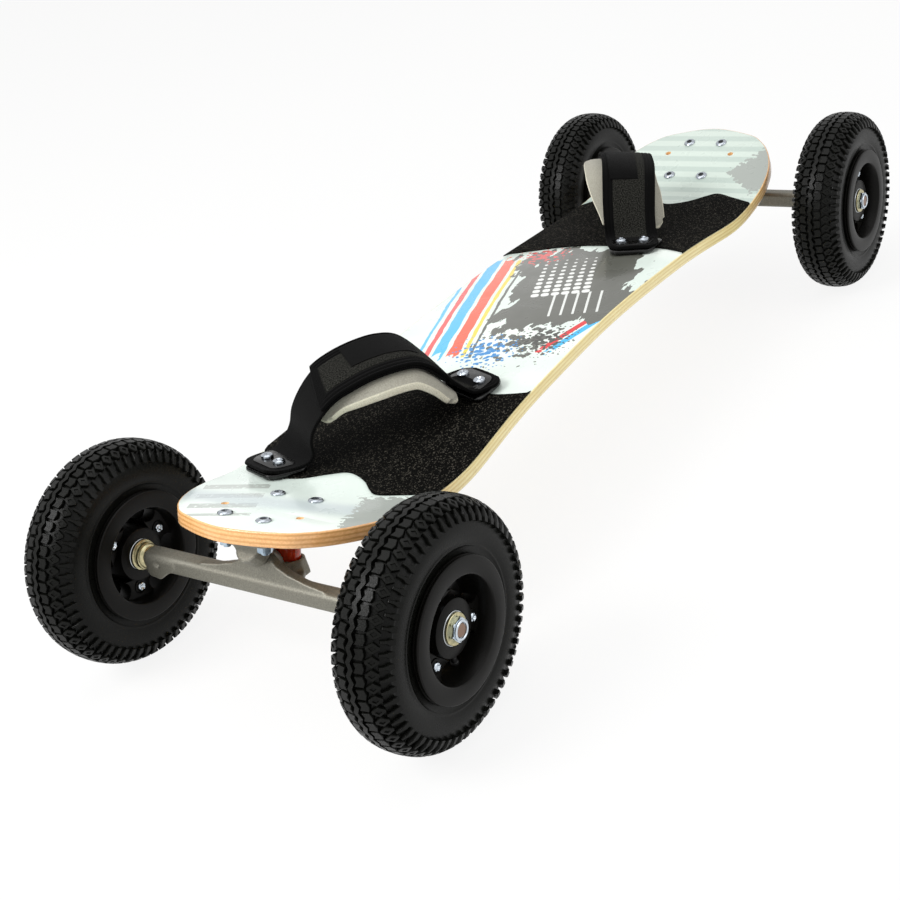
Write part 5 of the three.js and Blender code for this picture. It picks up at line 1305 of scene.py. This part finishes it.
def rounded_plan(length, width, corner, taper):
    """A rectangle about its centre with rounded corners, its far end drawn in by a share."""
    points = []
    for quadrant, (sx, sy) in enumerate(((1, 1), (-1, 1), (-1, -1), (1, -1))):
        for step in range(7):
            angle = (quadrant + step / 6) * math.pi / 2
            x = sx * (length / 2 - corner) + corner * math.cos(angle)
            y = sy * (width / 2 - corner) + corner * math.sin(angle)
            points.append((x, y * (1 - taper * (0.5 + x / length))))
    return points


for name, end in ENDS.items():
    for index, (side, (middle, outward, spacing)) in enumerate(ANCHORS.items()):
        seat = binding_matrix(end) @ Matrix.Translation((middle, 0, 0))
        seat = seat @ Matrix.Rotation(-end * ANCHOR_TURN, 4, "Z")
        anchor = bmesh.new()
        for plan, low, high, edge in (
            (ANCHOR_PLAN, ANCHOR_LOW, ANCHOR_HIGH, 0.0012),
            (CLAMP_PLAN, CLAMP_LOW, CLAMP_HIGH, 0.0003),
        ):
            outline = [seat @ Vector((outward * x, outward * y, 0)) for x, y in rounded_plan(*plan)]
            join(anchor, deck_layer([(p.x, p.y) for p in outline], low, high, edge))
        bolts = bmesh.new()
        for way in (-1, 1):
            spot = seat @ Vector((0, way * spacing / 2, 0))
            place = deck_matrix(spot.x, spot.y) @ Matrix.Translation((0, 0, CLAMP_HIGH + 0.0001))
            twist = Matrix.Rotation(1.1 * way + index + 0.4 * end, 4, "Z")
            pan_head(bolts, ANCHOR_BOLT_RADIUS, ANCHOR_BOLT_HEIGHT, place @ twist)
        replaced = f"anchor_{side}_{name}"
        piece(anchor, f"moulded_{replaced}", "board", anchor_nylon, 40, replaced)
        piece(bolts, f"anchor_bolts_{side}_{name}", "board", bright_chrome, 30)


# Understraps. Black woven webbing that rises from the anchor near the tip and runs under the
# crown of the strap. It is clamped at the tip's anchor, and the flap grips its other end.
STRAP_RISE = 0.058
STRAP_THICKNESS = 0.003
STRAP_GAP = 0.0006
STRAP_RIM = 0.0009
STRAP_PATH_SHARES = (
    (0.16, 0.46), (0.222, 0.7), (0.3, 0.88), (0.4, 0.97), (0.515, 1), (0.626, 0.965), (0.715, 0.86),
    (0.803, 0.575), (0.868, 0.25),
)
TAB_LIFT = 0.003
TAB_LENGTH = 0.016
TAB_KNOT_SHARES = (0.1, 0.915)
TAB_EASE_SHARES = (0.11, 0.19, 0.81, 0.89)
WIDENING_SHARES = (0.1, 0.26, 0.74, 0.9)
TAB_WIDTH = 0.054
TOE_TILT = math.radians(12.5)
TILT_SHARES = (0.1, 0.45, 0.55, 0.9)
TAB_ROUNDING = 0.4
TAB_ROUNDING_SHARE = 0.05
CROWN_LIFT = 0.007
CROWN_SHIFT = 0.010
SLANT_SHARE = 0.12
ROW_LENGTH = 0.0022
UNDERSTRAP_WIDTH = 0.054
UNDERSTRAP_END = 0.79
LINE_STEPS = 40
WEAVE_PITCH = 0.0021
WEFT_SHARE = 0.7
WEAVE_DEPTH = 0.00022


def ease(share, start, stop):
    """Goes smoothly from 0 to 1 between two shares."""
    t = min(max((share - start) / (stop - start), 0), 1)
    return t * t * (3 - 2 * t)


def strap_line(end):
    """The strap's path in a binding's frame, with the length up to each of its points."""
    over = STRAP_THICKNESS + STRAP_GAP
    first, last = [share * SPAN for share in TAB_KNOT_SHARES]

    def tab(s):
        height, slope = deck_top((binding_matrix(end) @ Vector((s, 0, 0))).x)
        return height + TAB_TOP * math.hypot(1, slope)

    def chord(share):
        return tab(0) + STRAP_THICKNESS + share * (tab(SPAN) - tab(0))

    knots = [(-TAB_LENGTH, tab(-TAB_LENGTH) + over), (0, tab(0) + over)]
    knots += [(first, tab(first) + over + TAB_LIFT)]
    knots += [(share * SPAN, chord(share) + rise * STRAP_RISE) for share, rise in STRAP_PATH_SHARES]
    knots += [(last, tab(last) + TAB_LIFT), (SPAN, tab(SPAN)), (SPAN + TAB_LENGTH, tab(SPAN + TAB_LENGTH))]
    line = smooth_line([(s, 0, z) for s, z in knots], LINE_STEPS, 0.5)
    return line, measured(line)


def on_strap(end, path, way, across, depth, shift):
    """A flat place carried onto the strap: way along it, across it, and under its path.

    The crown is shifted towards the toes, and the tabs are cut slanting, as the anchors stand.
    """
    line, lengths = path
    way = min(max(way, 1e-6), lengths[-1] - 1e-6)
    spot, step = place_along(line, lengths, way)
    run = (line[min(step + 2, len(line) - 1)] - line[max(step - 1, 0)]).normalized()
    spot = spot - depth * Vector((-run.z, 0, run.x))
    total = way / lengths[-1]
    on_tab = 1 - ease(total, *TAB_EASE_SHARES[:2]) + ease(total, *TAB_EASE_SHARES[2:])
    binding = binding_matrix(end)
    lean = ease(total, *TILT_SHARES[:2]) - ease(total, *TILT_SHARES[2:])
    across += end * shift * lean
    slanted = spot.x + end * math.tan(ANCHOR_TURN) * on_tab * across
    level = deck_top((binding @ Vector((slanted, across, 0))).x)[0]
    middle = deck_top((binding @ Vector((spot.x, 0, 0))).x)[0]
    rise = on_tab * (level - middle) + lean * (CROWN_LIFT - end * math.tan(TOE_TILT) * across)
    return binding @ Vector((slanted, across, spot.z + rise))


def strap_width(crown_width, share):
    """Strap width at a share of the path: narrow tabs and a wide crown."""
    first, wide, still, last = WIDENING_SHARES
    broad = min(ease(share, first, wide), 1 - ease(share, still, last))
    corner = max(0.0, 1 - min(share, 1 - share) / TAB_ROUNDING_SHARE) ** 2
    return (TAB_WIDTH + (crown_width - TAB_WIDTH) * broad) * (1 - TAB_ROUNDING * corner)


def strap_layer(end, start, stop, width_at, shape, columns, rim, shift=CROWN_SHIFT, slant=0.0, aside=None):
    """A soft layer along the strap. It is cut flat, rounded at the rim and laid on the path.

    The shape gives the depth under the path of the top and bottom faces, at a place across as
    a share of the half width towards the toes, and at a distance from the rim. It also gets
    the share of the path. The slant is how far the first end reaches out further on the toes'
    side, and the layer stands aside towards the toes by a length for each share.
    """
    path = strap_line(end)
    total = path[1][-1]
    bm = bmesh.new()
    rows = max(2, round((stop - start) * total / ROW_LENGTH))
    bmesh.ops.create_grid(bm, x_segments=rows, y_segments=columns, size=0.5)
    flat = bm.loops.layers.uv.new("flat")
    side_wall = bm.verts.layers.float.new("wall")
    raised(bm, bm.faces[:], 1)
    bmesh.ops.recalc_face_normals(bm, faces=bm.faces)
    for spot in bm.verts:
        share = start + (spot.co.x + 0.5) * (stop - start)
        half = width_at(share) / 2
        v = 2 * spot.co.y
        inset = min((1 - abs(v)) * half, min(share - start, stop - share) * total)
        top, bottom = shape(share, v * end, inset)
        spot.co = (share * total, v * half, -top if spot.co.z > 0.5 else -bottom)
    bevel(bm, [e for e in bm.edges if e.calc_face_angle(0) > 1.0], rim, 3)
    for face in bm.faces:
        face.normal_update()
        for loop in face.loops:
            loop[flat].uv = loop.vert.co.xy
    for spot in bm.verts:
        spot[side_wall] = 1.0 if max(abs(face.normal.z) for face in spot.link_faces) < 0.8 else 0.0
    for spot in bm.verts:
        share = spot.co.x / total
        toes = end * spot.co.y / (width_at(share) / 2)
        reach = slant * toes * max(0.0, 1 - (share - start) / SLANT_SHARE)
        across = spot.co.y + (end * aside(share) if aside else 0.0)
        spot.co = on_strap(end, path, spot.co.x - reach, across, -spot.co.z, shift)
    return bm


# Woven nylon webbing: near black, faint ribs across it 2 mm apart, a dry sheen on the high
# threads. The weave is drawn on the strap's own flat cut.
dry = {"Specular IOR Level": 0.05, "Sheen Weight": 0.02}
webbing = finish("woven black webbing", 0x060606, 0.7, inputs=dry)
flat_axes = add_node(webbing, "SeparateXYZ", add_node(webbing, "UVMap", uv_map="flat")).node.outputs
warp = wave(webbing, flat_axes["X"], WEAVE_PITCH)
weft = wave(webbing, flat_axes["Y"], WEAVE_PITCH * WEFT_SHARE)
weave = add_node(webbing, "Math MULTIPLY", warp, weft)
shade(webbing, {
    "Normal": add_node(webbing, "Bump", {"Height": weave, "Distance": WEAVE_DEPTH}),
    "Base Color": mottled(webbing, weave, 0x020202, 0x0C0C0C, 0.0, 1.0),
})


def understrap_shape(share, v, inset):
    """The lower layer lies under the flap by a small gap."""
    top = STRAP_THICKNESS + STRAP_GAP
    return top, top + STRAP_THICKNESS


understrap_width = partial(strap_width, UNDERSTRAP_WIDTH)
for name, end in ENDS.items():
    bm = strap_layer(
        end, 0.0, UNDERSTRAP_END, understrap_width, understrap_shape, columns=24, rim=STRAP_RIM,
    )
    piece(bm, f"webbing_strap_{name}", "board", webbing, 50, f"strap_{name}")


# Flaps. The upper half of each strap: dark grey loop cloth over foam, hemmed in black along
# both sides with two rows of stitches, and with a bare black patch sewn on at the crown.
FLAP_START = 0.33
FLAP_WIDTH = 0.056
FLAP_CROWN = 0.0008
HEM_ROWS = (0.0028, 0.0068, 0.0104)
HEM_WIDTH = 0.0108
HEM_END_SHARE = 0.90
HEM_GROOVE = 0.0007
HEM_GROOVE_WIDTH = 0.0008
FLAP_SLANT = 0.008
PATCH_START = 0.46
PATCH_END = 0.68
PATCH_WIDTH = 0.030
PATCH_SHIFT = 0.003
PATCH_RIM = 0.0002
LOOP_SIZE = 0.0012
LOOP_HEIGHT = 0.0006

# Loop cloth: short tangled nylon loops, charcoal with paler tips, on which light is soft.
loop_cloth = finish("nylon loop cloth", 0x0D0D0C, 0.9, inputs={**dry, "Sheen Roughness": 0.5})
flat_cut = add_node(loop_cloth, "UVMap", uv_map="flat")
loops = add_node(loop_cloth, "TexNoise", flat_cut, 1 / LOOP_SIZE, 3.0)
loop_tone = mottled(loop_cloth, loops, 0x060605, 0x33332F, 0.38, 0.66)
in_hem = add_node(loop_cloth, "Attribute", attribute_name="hem", outlet="Fac")
shade(loop_cloth, {
    "Normal": add_node(loop_cloth, "Bump", {"Height": loops, "Distance": LOOP_HEIGHT}),
    "Base Color": add_node(loop_cloth, "Mix RGBA", in_hem, loop_tone, 0x070707),
})


def flap_shape(share, v, inset):
    """The flap's top is crowned across and sunk along its rows of stitches."""
    groove = sum(math.exp(-(((inset - row) / HEM_GROOVE_WIDTH) ** 2)) for row in HEM_ROWS)
    return HEM_GROOVE * min(groove, 1) - FLAP_CROWN * (1 - v * v), STRAP_THICKNESS


def patch_shape(share, v, inset):
    """The bare patch lies on the flap's crown."""
    crown = FLAP_CROWN * (1 - (v * PATCH_WIDTH / FLAP_WIDTH) ** 2)
    return -crown - 0.0009, -crown - 0.0001


flap_width = partial(strap_width, FLAP_WIDTH)
for name, end in ENDS.items():
    bm = strap_layer(
        end, FLAP_START, 1.0, flap_width, flap_shape, columns=64, rim=STRAP_RIM, slant=FLAP_SLANT,
    )
    hem = bm.verts.layers.float.new("hem")
    flat = bm.loops.layers.uv["flat"]
    total = strap_line(end)[1][-1]
    for face in bm.faces:
        for loop in face.loops:
            share = loop[flat].uv.x / total
            inset = min(flap_width(share) / 2 - abs(loop[flat].uv.y), (share - FLAP_START) * total)
            loop.vert[hem] = 1.0 if inset < HEM_WIDTH or share > HEM_END_SHARE else 0.0
    piece(bm, f"loop_cloth_flap_{name}", "board", loop_cloth, 50, f"strap_flap_{name}")
    bm = strap_layer(
        end, PATCH_START, PATCH_END, lambda share: PATCH_WIDTH, patch_shape,
        columns=20, rim=PATCH_RIM, shift=PATCH_SHIFT,
    )
    piece(bm, f"bare_patch_{name}", "board", webbing, 50)


# Pads. Soft foam in pale grey knit cloth under each strap, wider than it, with the cream
# foam bare at the cut edge; both long edges droop towards the foot.
PAD_START = 0.26
PAD_END = 0.86
PAD_THICKNESS = 0.009
PAD_WIDTH = 0.076
PAD_START_TAPER = 0.36
PAD_END_TAPER = 0.16
PAD_ASIDE = 0.006
PAD_CORNER = 0.22
PAD_CORNER_SHARE = 0.035
PAD_END_THICKNESS_SHARE = 0.6
PAD_DROOP = 0.003
PAD_TOE_DROOP = 0.004
PAD_CROWN = 0.0012
PAD_RIM = 0.0016
PAD_SHIFTS = {"front": 0.000, "rear": 0.0065}

# Closed-cell foam and its thin knit skin: matt, warm grey on the faces, cream at the edge,
# with fine pores 1 mm apart.
pad_foam = finish("foam in grey knit cloth", 0xB9B5AC, 0.85, inputs={"Sheen Weight": 0.15})
lumps = grain(pad_foam, 0.0011, 0.00035, 4.0)
on_wall = add_node(pad_foam, "Attribute", attribute_name="wall", outlet="Fac")
foam_skin = mottled(pad_foam, lumps, 0x918E82, 0xA9A698)
foam_cut = mottled(pad_foam, lumps, 0xD3CEB6, 0xEFEBD8)
shade(pad_foam, {"Base Color": add_node(pad_foam, "Mix RGBA", on_wall, foam_skin, foam_cut)})


def pad_swell(share, least):
    """Goes from a least share at the pad's ends to 1 in its middle."""
    way = min(max((share - PAD_START) / (PAD_END - PAD_START), 0), 1)
    return least + (1 - least) * math.sqrt(max(math.sin(math.pi * way), 0))


def pad_width(share):
    """The pad is drawn in at both ends, and more where it starts. Its corners are rounded."""
    way = (share - PAD_START) / (PAD_END - PAD_START)
    taper = PAD_START_TAPER * (1 - ease(way, -0.05, 0.45)) + PAD_END_TAPER * ease(way, 0.7, 1.05)
    corner = max(0.0, 1 - min(share - PAD_START, PAD_END - share) / PAD_CORNER_SHARE) ** 2
    return PAD_WIDTH * (1 - taper) * (1 - PAD_CORNER * corner)


def pad_aside(share):
    """Its far end stands out towards the toes."""
    return PAD_ASIDE * ease((share - PAD_START) / (PAD_END - PAD_START), 0.6, 1.0)


def pad_shape(share, v, inset):
    """The pad lies under both straps and droops along its edges."""
    sink = 2 * (STRAP_THICKNESS + STRAP_GAP) + PAD_DROOP * v**4 + PAD_TOE_DROOP * max(v, 0) ** 4
    thickness = PAD_THICKNESS * pad_swell(share, PAD_END_THICKNESS_SHARE)
    return sink + 0.0002, sink + thickness + PAD_CROWN * (1 - v**4) - 0.0010


for name, end in ENDS.items():
    bm = strap_layer(
        end, PAD_START, PAD_END, pad_width, pad_shape,
        columns=14, rim=PAD_RIM, shift=PAD_SHIFTS[name], aside=pad_aside,
    )
    pad = piece(bm, f"foam_pad_{name}", "board", pad_foam, 60, f"pad_{name}")
